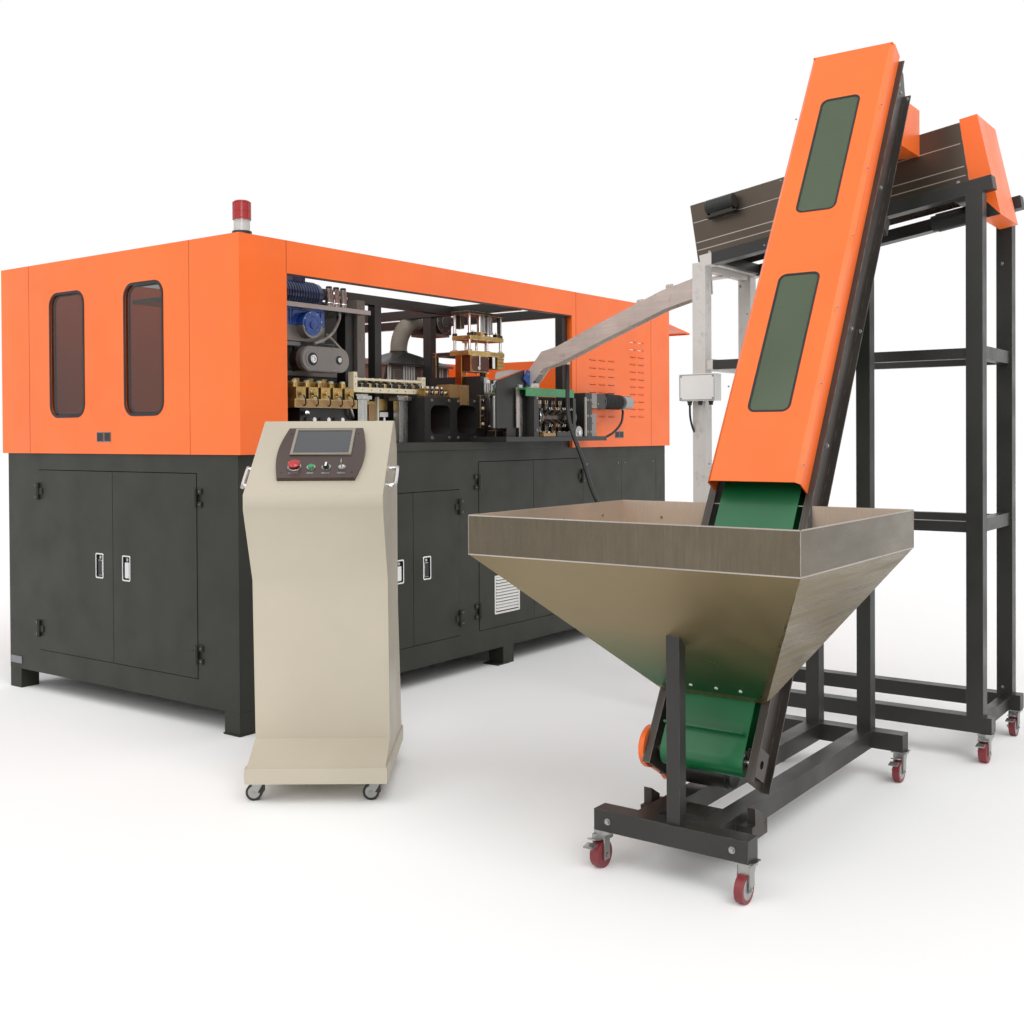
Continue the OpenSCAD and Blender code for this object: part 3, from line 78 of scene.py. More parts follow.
fwd = Vector((cos(YAW) * cos(PITCH), sin(YAW) * cos(PITCH), sin(PITCH)))
right = Vector((sin(YAW), -cos(YAW), 0))
up = right.cross(fwd)
right, up = cos(ROLL) * right + sin(ROLL) * up, -sin(ROLL) * right + cos(ROLL) * up
data = bpy.data.cameras.new("camera")
data.sensor_width = SENSOR
data.lens = SENSOR * FOCAL / PHOTO
data.shift_x = (PHOTO / 2 - CENTRE[0]) / PHOTO
data.shift_y = (CENTRE[1] - PHOTO / 2) / PHOTO
data.clip_end = 100
cam = add_object("camera", data)
cam.matrix_world = Matrix([(right[i], up[i], -fwd[i], EYE[i]) for i in range(3)] + [(0, 0, 0, 1)])
bpy.context.scene.camera = cam

# Materials
FINISHES = {}
MIDDLE = (0.3, 0.7)  # the part of a noise that a ramp spreads out
# Radius of the lighter edges, which are partly wear and partly a painted highlight
WORN_AND_LIT_EDGE = 0.004


def new_material(name):
    m = bpy.data.materials.new(name)
    m.use_nodes = True
    FINISHES[name] = m
    return m, m.node_tree, m.node_tree.nodes["Principled BSDF"]


def hexc(code):
    """Linear colour of an sRGB hex code."""
    srgb = [int(code[i:i + 2], 16) / 255 for i in (1, 3, 5)]
    return tuple(v / 12.92 if v <= 0.04045 else ((v + 0.055) / 1.055) ** 2.4 for v in srgb)


def feed(nt, node, inputs):
    """Each input takes a value, or a link when it is given another node's output."""
    for key, value in inputs.items():
        if isinstance(value, bpy.types.NodeSocket):
            nt.links.new(value, node.inputs[key])
        else:
            node.inputs[key].default_value = value
    return node


def shader(nt, kind, inputs=None, **settings):
    """A new shader node with its settings and inputs."""
    node = nt.nodes.new("ShaderNode" + kind)
    for key, value in settings.items():
        setattr(node, key, value)
    return feed(nt, node, inputs or {})


def mixed(nt, a, b, fac):
    a, b = ((*v, 1) if isinstance(v, tuple) else v for v in (a, b))
    return shader(nt, "Mix", {0: fac, 6: a, 7: b}, data_type="RGBA").outputs[2]


def noise(nt, scale, detail=3, stretch=None, rough=0.5):
    place = shader(nt, "TexCoord").outputs["Object"]
    place = shader(nt, "Mapping", {"Scale": stretch or (1, 1, 1), "Vector": place}).outputs["Vector"]
    inputs = {"Scale": scale, "Detail": detail, "Roughness": rough, "Vector": place}
    return shader(nt, "TexNoise", inputs).outputs["Fac"]


def ramp(nt, fac, lo, hi, out=(0, 1)):
    inputs = {"Value": fac, "From Min": lo, "From Max": hi, "To Min": out[0], "To Max": out[1]}
    return shader(nt, "MapRange", inputs).outputs["Result"]


def finish(name, colour, rough, vary, bump, metal=0.0, vary_scale=2.5, grain=900, streak=None, edge_wear_and_highlight=None,
           coat=0.0, alpha=1.0, spec=0.5, rough_vary=0.1, dirt=None):
    """One procedural finish: base tone with slow variation, fine grain, brushed streaks, edges lightened
    partly as wear and partly as a painted highlight.
    """
    m, nt, bsdf = new_material(name)
    base = hexc(colour)
    dark = tuple(v * (1 - 2.2 * vary) for v in base)
    light = tuple(min(1, v * (1 + vary) + vary * 0.02) for v in base)
    col = mixed(nt, dark, light, ramp(nt, noise(nt, vary_scale, 4), *MIDDLE))
    if streak:
        fine = ramp(nt, noise(nt, 1.0, 2, streak), *MIDDLE)
        col = mixed(nt, col, tuple(v * 0.72 for v in base), ramp(nt, fine, 0, 1, (0, 0.55)))
    if dirt:
        spots = ramp(nt, noise(nt, 14, 6, rough=0.7), 0.56, 0.75, (0, 0.6))
        col = mixed(nt, col, hexc(dirt), spots)
    # Lighter edges: partly worn paint and bared metal, partly a painted highlight along the edges
    if edge_wear_and_highlight:
        flat = shader(nt, "NewGeometry").outputs["Normal"]
        soft = shader(nt, "Bevel", {"Radius": WORN_AND_LIT_EDGE}, samples=4).outputs["Normal"]
        dot = shader(nt, "VectorMath", {0: flat, 1: soft}, operation="DOT_PRODUCT").outputs["Value"]
        rubbed_and_lit_edge = ramp(nt, dot, 0.995, 0.88, (0, 0.75))
        patch = ramp(nt, noise(nt, 25, 4), 0.42, 0.6)
        both = shader(nt, "Math", {0: rubbed_and_lit_edge, 1: patch}, operation="MULTIPLY").outputs[0]
        col = mixed(nt, col, hexc(edge_wear_and_highlight), both)
    uneven = noise(nt, 1.0 if streak else 6, 3, streak)
    span = (max(0.03, rough - rough_vary), min(1, rough + rough_vary))
    feed(nt, bsdf, {"Base Color": col, "Metallic": metal, "Coat Weight": coat, "Alpha": alpha,
                    "Specular IOR Level": spec, "Roughness": ramp(nt, uneven, *MIDDLE, span)})
    if bump:
        dents = shader(nt, "Bump", {"Strength": bump, "Distance": MM, "Height": noise(nt, grain, 2)})
        feed(nt, bsdf, {"Normal": dents.outputs["Normal"]})
    return m


def pane(name, colour, alpha, rough=0.06):
    m, nt, bsdf = new_material(name)
    tint = hexc(colour)
    col = mixed(nt, tuple(v * 0.8 for v in tint), tint, ramp(nt, noise(nt, 3, 3), *MIDDLE))
    feed(nt, bsdf, {"Base Color": col, "Roughness": rough, "Alpha": alpha, "Specular IOR Level": 0.6})
    return m


ORANGE = finish("orange_paint", "#FF7022", 0.38, 0.035, 0.03, grain=700, coat=0.12)
DARK = finish("dark_paint", "#292A22", 0.44, 0.06, 0.05, grain=500, spec=0.35)
BLACK = finish("black_paint", "#262523", 0.4, 0.12, 0.05, grain=500)
FRAME = finish("frame_paint", "#242320", 0.42, 0.12, 0.05, grain=500, edge_wear_and_highlight="#565350")
PALE = finish("pale_frame_paint", "#CFCAC5", 0.4, 0.08, 0.04, 0.2, dirt="#8f8a85")
finish("beige_paint", "#BAB19F", 0.42, 0.03, 0.05, grain=420)
WHITE = finish("white_paint", "#E9E7E3", 0.4, 0.03, 0.03)
BLUE = finish("blue_paint", "#1F4FA6", 0.25, 0.22, 0.05, vary_scale=18, coat=0.4)
GREEN = finish("green_paint", "#2F8048", 0.35, 0.1, 0.04, coat=0.2)
CAST = finish("cast_iron", "#1f1e1d", 0.55, 0.2, 0.25, grain=260)
CHANNEL = finish("channel_steel", "#514b46", 0.42, 0.14, 0.05, 0.75, streak=(3, 90, 3), edge_wear_and_highlight="#8d867d")
STEEL = finish("bright_steel", "#b9b7b2", 0.28, 0.1, 0.03, 1, streak=(60, 8, 8), dirt="#6a6257")
finish("stainless", "#6E6556", 0.3, 0.16, 0.03, 0.9, vary_scale=1.8, streak=(4, 120, 12), edge_wear_and_highlight="#d9d6cf")
CHROME = finish("chrome", "#dcdcdc", 0.1, 0.03, 0, 1, rough_vary=0.04)
# Plated steel: its cream edges are a painted highlight
GOLD = finish("plated_steel", "#C0A062", 0.32, 0.2, 0.05, 0.9, vary_scale=12, grain=200, dirt="#4a3a26",
              edge_wear_and_highlight="#f3e6c0")
COPPER = finish("copper_block", "#b06a3c", 0.33, 0.18, 0.05, 1, dirt="#4c2f1d")
ALU = finish("aluminium", "#a9aaa9", 0.38, 0.1, 0.06, 0.85, grain=350)
CREAM = finish("cream_plastic", "#e9dfc2", 0.45, 0.07, 0.03)
REDP = finish("red_plastic", "#a81417", 0.22, 0.1, 0, coat=0.3)
GREENP = finish("green_plastic", "#178f50", 0.25, 0.1, 0, coat=0.3)
BLACKP = finish("black_plastic", "#1c1b1a", 0.4, 0.15, 0.06)
finish("dark_bezel", "#43342e", 0.4, 0.1, 0.05)
CORDM = finish("cord_rubber", "#171717", 0.5, 0.15, 0.1, grain=300)
ZINC = finish("zinc", "#a7a7a4", 0.35, 0.12, 0.06, 0.9, dirt="#6b665f")
finish("belt_green", "#066838", 0.4, 0.12, 0.08, grain=600, coat=0.15)
WHEEL = finish("wheel_rubber", "#7c2a30", 0.4, 0.1, 0.04)
finish("quartz", "#e8e4dc", 0.15, 0.04, 0, alpha=0.7)
pane("tinted_pane", "#2A2523", 0.55)
SCREEN = finish("screen_glass", "#4A4B4F", 0.16, 0.05, 0, rough_vary=0.03)
TRIM = finish("screen_trim", "#9a9385", 0.35, 0.06, 0.02, 0.3)
CLEAR = pane("clear_band", "#d8d6d2", 0.75, 0.12)
SEAM = finish("panel_gap_orange", "#a8431c", 0.6, 0.1, 0)
GROOVE = finish("panel_gap_dark", "#232420", 0.6, 0.1, 0)
RUBBER = finish("seal_rubber", "#16181d", 0.55, 0.15, 0.1)
PLATE = finish("plate_steel", "#8f9095", 0.3, 0.1, 0.02, 0.9)
pane("green_pane", "#56664C", 0.72, 0.12)
NAVY = finish("motor_navy", "#1A2B52", 0.3, 0.25, 0.04, vary_scale=14, coat=0.35)
FUNNEL = finish("stainless_funnel", "#8A7A58", 0.3, 0.12, 0.02, 0.85, vary_scale=1.6, streak=(3, 60, 3),
                edge_wear_and_highlight="#d9d6cf")
# The rim's inside: the hopper's steel painted lighter, as painted light on its lit faces
LIT_RIM_STEEL = finish("stainless_inside_painted_lit", "#DCC8B6", 0.4, 0.12, 0.03, 0.6, streak=(4, 120, 12))
TROUGH = finish("trough_steel", "#5E544A", 0.34, 0.12, 0.03, 0.8, streak=(90, 3, 3), edge_wear_and_highlight="#c9bfb4")
LIP = finish("bright_lip", "#B3AAA2", 0.35, 0.08, 0.03, 0.5)
CHUTE_SHEET = finish("chute_sheet", "#DDD3CB", 0.42, 0.08, 0.03, 0.25, vary_scale=5, streak=(4, 4, 80),
                     dirt="#8f837b")
GREY = finish("guard_grey", "#8B8581", 0.38, 0.1, 0.04, 0.5)
POST = finish("post_grey", "#79716B", 0.42, 0.1, 0.05, 0.3)
HEATER = finish("heater_sheet", "#8C8882", 0.4, 0.12, 0.04, 0.6, streak=(90, 90, 3))
REDBROWN = finish("heater_box", "#5E2713", 0.35, 0.2, 0.05, 0.25, vary_scale=9)
TAN = finish("tan_block", "#B08C5E", 0.4, 0.14, 0.05, 0.5)
DRUMSTEEL = finish("drum_steel", "#6A6058", 0.32, 0.22, 0.05, 0.9, vary_scale=22, edge_wear_and_highlight="#d8cbb2")
FLEX = finish("braided_hose", "#A09A90", 0.5, 0.14, 0.5, 0.35, vary_scale=30, grain=420)
DUCT = finish("duct_skin", "#A49D90", 0.55, 0.1, 0.15, vary_scale=8, grain=240)
FINISHES["cast"] = CAST

# The funnel over the belt: a painted green reflection of the belt turning into steel with height, in metres
BELT_REFLECTION, nt, bsdf = new_material("funnel_over_belt")
height = shader(nt, "SeparateXYZ", {0: shader(nt, "TexCoord").outputs["Object"]}).outputs["Z"]
wavy = shader(nt, "Math", {0: noise(nt, 9, 4), 1: 0.05, 2: height}, operation="MULTIPLY_ADD").outputs[0]
tone = mixed(nt, hexc("#1D5E38"), hexc("#8A7A58"), ramp(nt, wavy, 0.5, 0.72))
feed(nt, bsdf, {"Base Color": tone, "Roughness": ramp(nt, noise(nt, 9, 3), *MIDDLE, (0.27, 0.35)),
                "Metallic": 0.75})

# Dressing of the CAD nodes: frames scale millimetres to metres
EDGE_ANGLE = radians(32)
SMOOTH_ANGLE = radians(35)


def placed(base, at, axis=None, deg=0):
    m = base @ Matrix.Translation(at)
    return m @ Matrix.Rotation(radians(deg), 4, axis) if axis else m


WORLD = Matrix.Scale(MM, 4)
CLIMB = placed(WORLD, (198, -2150, 1077), "Y", -60)
CONSOLE = placed(WORLD, (984 * cos(radians(243.9)), 984 * sin(radians(243.9)), 0), "Z", -53.87)
DESK = placed(CONSOLE, (0, -19, 1032), "X", degrees(atan2(246, 352)))
BACK = placed(CONSOLE, (195, 450, 650), "Z", 180)
SORTER = placed(WORLD, (1600, -1294, 2232), "X", -8.8)


def bake(obj):
    """The modifiers are applied to the mesh."""
    deps = bpy.context.evaluated_depsgraph_get()
    done = bpy.data.meshes.new_from_object(obj.evaluated_get(deps))
    obj.modifiers.clear()
    obj.data = done
    return done


def settle(obj):
    """Smooth shading with flat faces kept flat: normals weighted by face area."""
    mesh = obj.data
    mesh.polygons.foreach_set("use_smooth", [True] * len(mesh.polygons))
    mesh.set_sharp_from_angle(angle=SMOOTH_ANGLE)
    mod = obj.modifiers.new("normals", "WEIGHTED_NORMAL")
    mod.keep_sharp = True
    mod.weight = 100
    bake(obj).name = obj.name


def dress(node, bevel=1.2, regions=(), mat=None):
    """A copy of the CAD solid with softened edges, in its place. A region is a box in mm of a frame
    that takes another material; the solid is first cut at the (axis, side) faces listed with it."""
    mesh = NODES[node].data.copy()
    mesh.name = node + "_dressed"
    mesh.materials.clear()
    slot = SLOT_OF[node]
    for m in [mat or FINISHES[slot]] + [r[2] for r in regions]:
        mesh.materials.append(m)
    bm = bmesh.new()
    bm.from_mesh(mesh)
    bmesh.ops.remove_doubles(bm, verts=bm.verts, dist=1e-6)
    for f in bm.faces:
        f.material_index = 0
    for index, region in enumerate(regions, 1):
        lo, hi, _, base, cuts = region + (WORLD, ())[len(region) - 3:]
        for k, side in cuts:
            axis = Vector([float(i == k) for i in range(3)])
            bmesh.ops.bisect_plane(bm, geom=bm.verts[:] + bm.edges[:] + bm.faces[:], dist=1e-6,
                                   plane_co=base @ ((lo, hi)[side][k] * axis),
                                   plane_no=(base.to_3x3() @ axis).normalized())
        local = base.inverted()
        for f in bm.faces:
            c = local @ f.calc_center_median()
            if all(lo[i] <= c[i] <= hi[i] for i in range(3)):
                f.material_index = index
    bmesh.ops.dissolve_limit(bm, angle_limit=radians(0.5), verts=bm.verts, edges=bm.edges,
                             delimit={"MATERIAL"})
    bm.to_mesh(mesh)
    bm.free()
    obj = add_object(node + "_dressed", mesh)
    if bevel:
        mod = obj.modifiers.new("bevel", "BEVEL")
        mod.width = bevel * MM
        mod.segments = 2
        mod.limit_method = "ANGLE"
        mod.angle_limit = EDGE_ANGLE
        mod.miter_outer = "MITER_SHARP"
        bake(obj)
    settle(obj)
    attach(obj, BODY_OF[node])
    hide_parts(node)


def circle(r, n, start=0):
    """Points round a circle of radius r, the first at the start angle."""
    return [(r * cos(t), r * sin(t)) for t in [2 * pi * k / n + start for k in range(n)]]


def rounded(cy, cz, w, h, r, point, n=8):
    """Outline of a rectangle with round corners; point turns (a, b) into a place."""
    pts = []
    for k, (sx, sz) in enumerate(((1, 1), (-1, 1), (-1, -1), (1, -1))):
        for i in range(n + 1):
            a = radians(90 * k + 90 * i / n)
            pts.append(point(cy + sx * (w / 2 - r) + r * cos(a), cz + sz * (h / 2 - r) + r * sin(a)))
    return pts


def walls(rows):
    """The quads between each loop of points and the next."""
    n = len(rows[0])
    return [(a[i], a[(i + 1) % n], b[(i + 1) % n], b[i]) for a, b in zip(rows, rows[1:]) for i in range(n)]


class Build:
    """Collects bevelled primitives into one mesh, each with its own material. Sizes are in
    millimetres of the current frame."""

    def __init__(self, base=WORLD):
        self.bm = bmesh.new()
        self.mats = []
        self.base = base

    def _vert(self, p):
        return self.bm.verts.new(self.base @ Vector(p))

    def _index(self, mat):
        if mat not in self.mats:
            self.mats.append(mat)
        return self.mats.index(mat)

    def _tag(self, verts, mat, bevel):
        faces = {f for v in verts for f in v.link_faces}
        for f in faces:
            f.material_index = self._index(mat)
        if bevel:
            edges = [e for e in {e for f in faces for e in f.edges}
                     if len(e.link_faces) == 2 and e.calc_face_angle(0) > EDGE_ANGLE]
            bmesh.ops.bevel(self.bm, geom=edges, offset=bevel * MM, segments=2, affect="EDGES",
                            clamp_overlap=True)
        return self

    def _skin(self, rings, mat):
        """Walls from ring to ring of points, with a lid on both ends."""
        index = self._index(mat)
        for f in walls(rings) + [rings[0][::-1], rings[-1]]:
            self.bm.faces.new(f).material_index = index
        return self

    def box(self, lo, hi, mat, bevel=1.0, rot=None):
        """rot is (axis letter, degrees) about the middle."""
        mid = Matrix.Translation([(lo[i] + hi[i]) / 2 for i in range(3)])
        size = [hi[i] - lo[i] for i in range(3)]
        m = mid @ Matrix.Diagonal((*size, 1))
        if rot:
            m = mid @ Matrix.Rotation(radians(rot[1]), 4, rot[0]) @ mid.inverted() @ m
        r = bmesh.ops.create_cube(self.bm, size=1, matrix=self.base @ m)
        return self._tag(r["verts"], mat, min(bevel, 0.35 * min(size)))

    def boxes(self, rows, *look):
        """One box a row: low corner and high corner, then material and bevel unless all share them."""
        for row in rows:
            self.box(row[:3], row[3:6], *row[6:], *look)

    def cyl(self, a, b, r, mat, seg=32, bevel=0.8):
        a, b = Vector(a), Vector(b)
        d = b - a
        m = Matrix.Translation((a + b) / 2) @ d.to_track_quat("Z", "Y").to_matrix().to_4x4()
        out = bmesh.ops.create_cone(self.bm, cap_ends=True, segments=seg, radius1=r, radius2=r,
                                    depth=d.length, matrix=self.base @ m)
        return self._tag(out["verts"], mat, min(bevel, r * 0.3, d.length * 0.3))

    def prism(self, pts, push, mat, bevel=1.0):
        """A flat polygon of 3-D points pushed along a vector."""
        e = Vector(push)
        low = [self._vert(p) for p in pts]
        high = [self._vert(Vector(p) + e) for p in pts]
        n = len(pts)
        faces = [self.bm.faces.new(low), self.bm.faces.new(high[::-1])]
        for i in range(n):
            faces.append(self.bm.faces.new((low[i], high[i], high[(i + 1) % n], low[(i + 1) % n])))
        bmesh.ops.recalc_face_normals(self.bm, faces=faces)
        return self._tag(low + high, mat, bevel)

    def ring(self, outer, inner, push, mat, bevel):
        """A flat frame between two outlines of equal point count, pushed along a vector."""
        e = Vector(push)
        rows = [[self._vert(Vector(p) + k * e) for p in pts]
                for pts, k in ((outer, 0), (outer, 1), (inner, 1), (inner, 0))]
        faces = [self.bm.faces.new(f) for f in walls(rows + rows[:1])]
        bmesh.ops.recalc_face_normals(self.bm, faces=faces)
        return self._tag([v for r in rows for v in r], mat, bevel)

    def rim(self, mid, outer, inner, point, push, mat, bevel):
        """A frame with round corners; outer and inner are (width, height, corner radius)."""
        self.ring(rounded(*mid, *outer, point), rounded(*mid, *inner, point), push, mat, bevel)

    def tube(self, pts, r, mat, seg=12):
        pts = [self.base @ Vector(p) for p in pts]
        last = len(pts) - 1
        side = (pts[1] - pts[0]).normalized().orthogonal().normalized()
        rings = []
        for i, p in enumerate(pts):
            t = (pts[min(i + 1, last)] - pts[max(i - 1, 0)]).normalized()
            side = (side - side.dot(t) * t).normalized()
            other = t.cross(side)
            rings.append([self.bm.verts.new(p + r * MM * (side * u + other * v)) for u, v in circle(1, seg)])
        return self._skin(rings, mat)

    def lathe(self, profile, at, axis, mat, seg=40):
        """A profile turned round an axis: distance along it and radius, in turn."""
        q = Vector(axis).to_track_quat("Z", "Y").to_matrix()
        at = Vector(at)
        return self._skin([[self._vert(at + q @ Vector((u, v, z)))
                            for u, v in circle(r, seg)] for z, r in zip(profile[::2], profile[1::2])], mat)

    def screw(self, at, axis, r, mat, head):
        """Socket head screw: turned head with a dark socket."""
        a = Vector(axis).normalized()
        p = Vector(at)
        self.cyl(p - a * head * 0.5, p + a * head, r, mat, seg=16, bevel=0.5)
        return self.cyl(p + a * head * 0.9, p + a * (head + 0.25), r * 0.45, BLACK, seg=6, bevel=0)

    def bolt(self, at, axis, r, mat):
        """Hexagon bolt head on a washer."""
        a = Vector(axis).normalized()
        p = Vector(at)
        self.cyl(p - a, p + a * 1.6, r * 1.35, mat, seg=20, bevel=0.3)
        return self.cyl(p + a * 1.2, p + a * (1.2 + r * 0.9), r, mat, seg=6, bevel=0.6)

    def make(self, name, node=None, stand_in=False):
        """The finished piece rides with the body of a node, and may take that node's place."""
        mesh = bpy.data.meshes.new(name)
        self.bm.to_mesh(mesh)
        self.bm.free()
        for m in self.mats:
            mesh.materials.append(m)
        obj = add_object(name, mesh)
        settle(obj)
        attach(obj, BODY_OF[node] if node else "machine")
        if stand_in:
            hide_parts(node)
        return obj


def spline(p, i, t):
    a, b, c, d = p[max(i - 1, 0)], p[i], p[i + 1], p[min(i + 2, len(p) - 1)]
    return 0.5 * (2 * b + (c - a) * t + (2 * a - 5 * b + 4 * c - d) * t * t
                  + (3 * b - a - 3 * c + d) * t ** 3)


def route(pts, n):
    """A smooth path through the points, with n steps from one to the next."""
    p = [Vector(q) for q in pts]
    return [spline(p, i, k / n) for i in range(len(p) - 1) for k in range(n)] + [p[-1]]


# Free cords
def add_cord(name, pts, n, r, mat, node=None):
    """A cord or hose on a smooth path; with a node it takes that node's place."""
    path = route(pts, n)
    obj = Build().tube(path, r, mat, 16 if node else 14).make(name, node, stand_in=bool(node))


CHUTE_A = radians(75.96)
HOSE_X = 1620 + 985 * cos(CHUTE_A) + 41 * sin(CHUTE_A)
HOSE_Y = -1300 + 985 * sin(CHUTE_A) - 41 * cos(CHUTE_A)
add_cord("servo_lead", [
    (2890, -100, 1371), (2890, -100, 1345), (2858, -106, 1290), (2768, -110, 1238), (2673, -104, 1206),
    (2630, -100, 1202.5), (2594, -100, 1202.5)], 7, 7, CORDM, "servo_cable")
add_cord("air_hose", [
    (HOSE_X, HOSE_Y, 1590), (HOSE_X, HOSE_Y, 1500), (1856, -390, 1300), (1796, -510, 1100), (1690, -660, 900),
    (1590, -850, 790), (1460, -1120, 815), (1380, -1295, 880), (1380, -1345, 880)],
    8, 11, CORDM, "chute_hose")
add_cord("drive_hose_a", [
    (826, 236, 1811), (824, 234, 1785), (806, 232, 1752), (776, 228, 1716), (735, 222, 1688),
    (690, 216, 1668), (640, 214, 1652)], 4, 7, FLEX)
add_cord("sorter_cable", [
    (1404, -1384, 1985), (1405, -1383, 1850), (1404, -1384, 1700), (1405, -1382, 1540), (1404, -1382, 1400),
    (1402, -1380, 1300), (1386, -1374, 1236), (1352, -1366, 1234), (1326, -1361, 1290), (1322, -1360, 1347)],
    5, 4.5, CORDM)
add_cord("drive_hose_b", [
    (742, 236, 1702), (770, 240, 1686), (806, 244, 1664), (842, 244, 1636), (864, 240, 1602),
    (868, 234, 1570)], 4, 7, FLEX)

# Dressed CAD nodes, with the width of their soft edges in mm
for width, names in (
        (2, "base_frame"), (1.5, "base_shell"), (2, "bed_plate"), (2.5, "enclosure"),
        (1.5, "inner_frame end_door_left end_door_right side_door_1_left side_door_1_right"),
        (1.2, "side_door_2_left"), (1.5, "side_door_2_right"), (1, "outfeed_flap"),
        (1.5, "platen_left platen_right"), (2, "air_receiver"), (1, "console_door"),
        (1.2, "elevator_cover"), (0.6, "elevator_belt"),
        (1, "head_roller tail_roller discharge_hood sorter_roller_front sorter_roller_back"),
        (0.8, "stand_fork tower_fork"), (0.6, "emergency_stop start_button selector_switch"),
        (0.3, "key_switch"), (3, "control_box"), (0, "end_windows cover_windows heater_lamps"),
        (2, "stand_wheel tower_wheel")):
    for name in names.split():
        dress(name, width)
WHEEL_R = 38  # the wheels of the stand and the tower
CASTER_H = 105
DECK = 1190.4  # where things stand on the bed plate, and on the clamp housing
CLAMP_TOP = 1420.4


def wheel_box(x, y):
    """The region round the wheel of a caster whose pin is at x, y."""
    return (x - 22 - WHEEL_R, y - 12.5, -1), (x - 22 + WHEEL_R, y + 12.5, 2 * WHEEL_R + 1), WHEEL


dress("clamp_housing", 2.5, [((1841, 100, 1000), (2239, 600, 1600), CHROME)])
dress("main_gearbox", 2, [
    ((100, 200, 1655), (745, 505, 1733), GREY, WORLD, ((2, 1),)),
    ((400, 280, 1830.2), (830, 460, 2040), NAVY), ((0, 100, 1811.9), (1010, 750, 1830.1), STEEL),
    ((900, 300, 1000), (1010, 380, 1811.8), BLACK), ((100, 450, 1000), (250, 600, 1811.8), BLACK),
    ((820, 280, 1830.2), (1000, 400, 1950), STEEL)])
dress("valve_manifold", regions=[((500, 100, 1190), (900, 500, 1354.9), BLACK)])
dress("loader_frame", 1.5, [
    ((2429.1, -200, 1220), (2600, -10, 1500), GREY), ((800, 200, 1100), (1400, 300, 1500), STEEL),
    ((1789, -120.5, 1200), (1823, -111.9, 1500), STEEL)])
dress("loader_drum", 0.8, mat=DRUMSTEEL)
dress("oven", 1, [((1600, 650, 1440), (2300, 1000, 1624.9), HEATER)])
dress("chute", 0.8, mat=CHUTE_SHEET)
dress("servo_motor", 2, [((2868, -200, 1300), (3000, 0, 1500), ALU)])
dress("console_body", 2, [
    ((-275, 95, -60), (-245, 225, -38), STEEL, DESK), ((245, 95, -60), (275, 225, -38), STEEL, DESK),
    ((-240, 0, 0), (240, 560, 73.8), BLACKP, CONSOLE)])
dress("console_fascia", 1.5, [
    ((-94.9, 210.1, 15), (94.9, 344.9, 17), SCREEN, DESK), ((-110, 195, 16.5), (110, 360, 20), TRIM, DESK),
    ((-110, 100, 14.2), (110, 160, 20), STEEL, DESK)])
dress("elevator_frame", 1, [
    ((-1000, -200, -210), (2000, 200, -60), CHANNEL, CLIMB), ((-360, -2500, -1), (1000, -1800, 104.5), ZINC),
    ((-380, -2382, -1), (-303, -2356, 77), WHEEL), ((898, -2382, -1), (976, -2356, 77), WHEEL),
    ((898, -1944, -1), (976, -1918, 77), WHEEL)], FRAME)
dress("elevator_drive", 4, [((-1000, -60, -320), (-700, 174.9, -200), BLACK, CLIMB)])
dress("tower_frame", regions=[
    ((1340, -1450, 170), (1870, -1355, 2300), PALE, WORLD, ((1, 0), (2, 0))),
    ((1300, -2600, -1), (1900, -1300, 104.5), ZINC), wheel_box(1830, -2554), wheel_box(1374, -1356),
    wheel_box(1830, -1356)])
dress("sorter_trough", 1, [((-230, -240, -90.5), (-141, -80, 10), BLACK, SORTER)], TROUGH)
dress("sorter_end_cover", regions=[((-140, -1250, -390), (-50, -980, -300), BLACKP, SORTER)])
# The hopper's throat region is a painted green reflection of the belt
# The inside of its rim is steel painted lighter, as painted light
dress("hopper", 0.8, [
    ((-800, -2800, 300), (400, -1500, 892.9), FUNNEL), ((-800, -2400, 300), (-250, -1900, 892.9), BELT_REFLECTION),
    ((-594.5, -2628.5, 893.5), (249.5, -1661.5, 1002.9), LIT_RIM_STEEL)])
dress("beacon_lamp", 2, [
    ((-50, -80, 2040), (90, 80, 2062), BLACKP), ((-50, -80, 2062.1), (90, 80, 2107.9), CLEAR)])


def louvre(b, x, z):
    """Folded lip over one ventilation slot."""
    b.prism([(x, -28.5, z + 10), (x, -34, z + 3.4), (x, -33, z + 2.4), (x, -27.5, z + 8.4)], (72, 0, 0),
            ORANGE, 0.3)


# Upper enclosure
b = Build()
for y in (598, 1175):
    b.rim((y, 1610), (281, 586, 63), (255, 560, 50), lambda a, c: (-11, a, c), (-4, 0, 0), RUBBER, 1.2)
    b.rim((y, 1610), (262, 567, 53), (246, 551, 45), lambda a, c: (8, a, c), (6, 0, 0), RUBBER, 1.0)
b.make("window_seals")

b = Build()
for y in (285, 1487):
    b.box((-12.5, y - 1.4, 1152), (-11.5, y + 1.4, 2048), SEAM, 0)
for x, z0 in ((243, 1912), (2483, 1152), (3366, 1152)):
    b.box((x - 1.4, -30.5, z0), (x + 1.4, -29.5, 2048), SEAM, 0)
b.boxes([
    (246, -29.4, 1905, 2439, -12, 1911.8, BLACK, 0.5), (2440.2, -29, 1160, 2444.5, -12, 1905, GROOVE, 0.5),
    (2604, -9.6, 1312, 3330, -8, 1728, SEAM, 0.3)])
for x in (2628, 2733, 2838):
    for j in range(8):
        louvre(b, x, 1328 + j * 48)
for x in (3100, 3200):
    for j in range(11):
        louvre(b, x, 1332 + j * 46.5)
b.make("enclosure_seams_and_louvres")

b = Build()
for mat, bevel, rim, x0, x1 in ((PLATE, 0.8, 0, -14.2, -11.5), (GROOVE, 0.2, 4, -14.8, -14.1)):
    for y0, y1 in ((839, 889), (893, 944)):
        b.box((x0, y0 + rim, 1203 + rim), (x1, y1 - rim, 1249 - rim), mat, bevel)
for mat, bevel, rim, y0, y1 in ((PLATE, 0.8, 0, -32.2, -29.5), (GROOVE, 0.2, 4, -32.8, -32.1)):
    for x0, x1 in ((2915, 2964), (2967, 3016)):
        b.box((x0 + rim, y0, 1202 + rim), (x1 - rim, y1, 1245 - rim), mat, bevel)
b.make("bare_badge_plates")

b = Build()
for x in range(300, 3500, 400):
    b.screw((x, 20, 2050), UP, 5, ZINC, 3)
for y in range(150, 1700, 300):
    b.screw((14, y, 2050), UP, 5, ZINC, 3)
b.make("rim_screws")

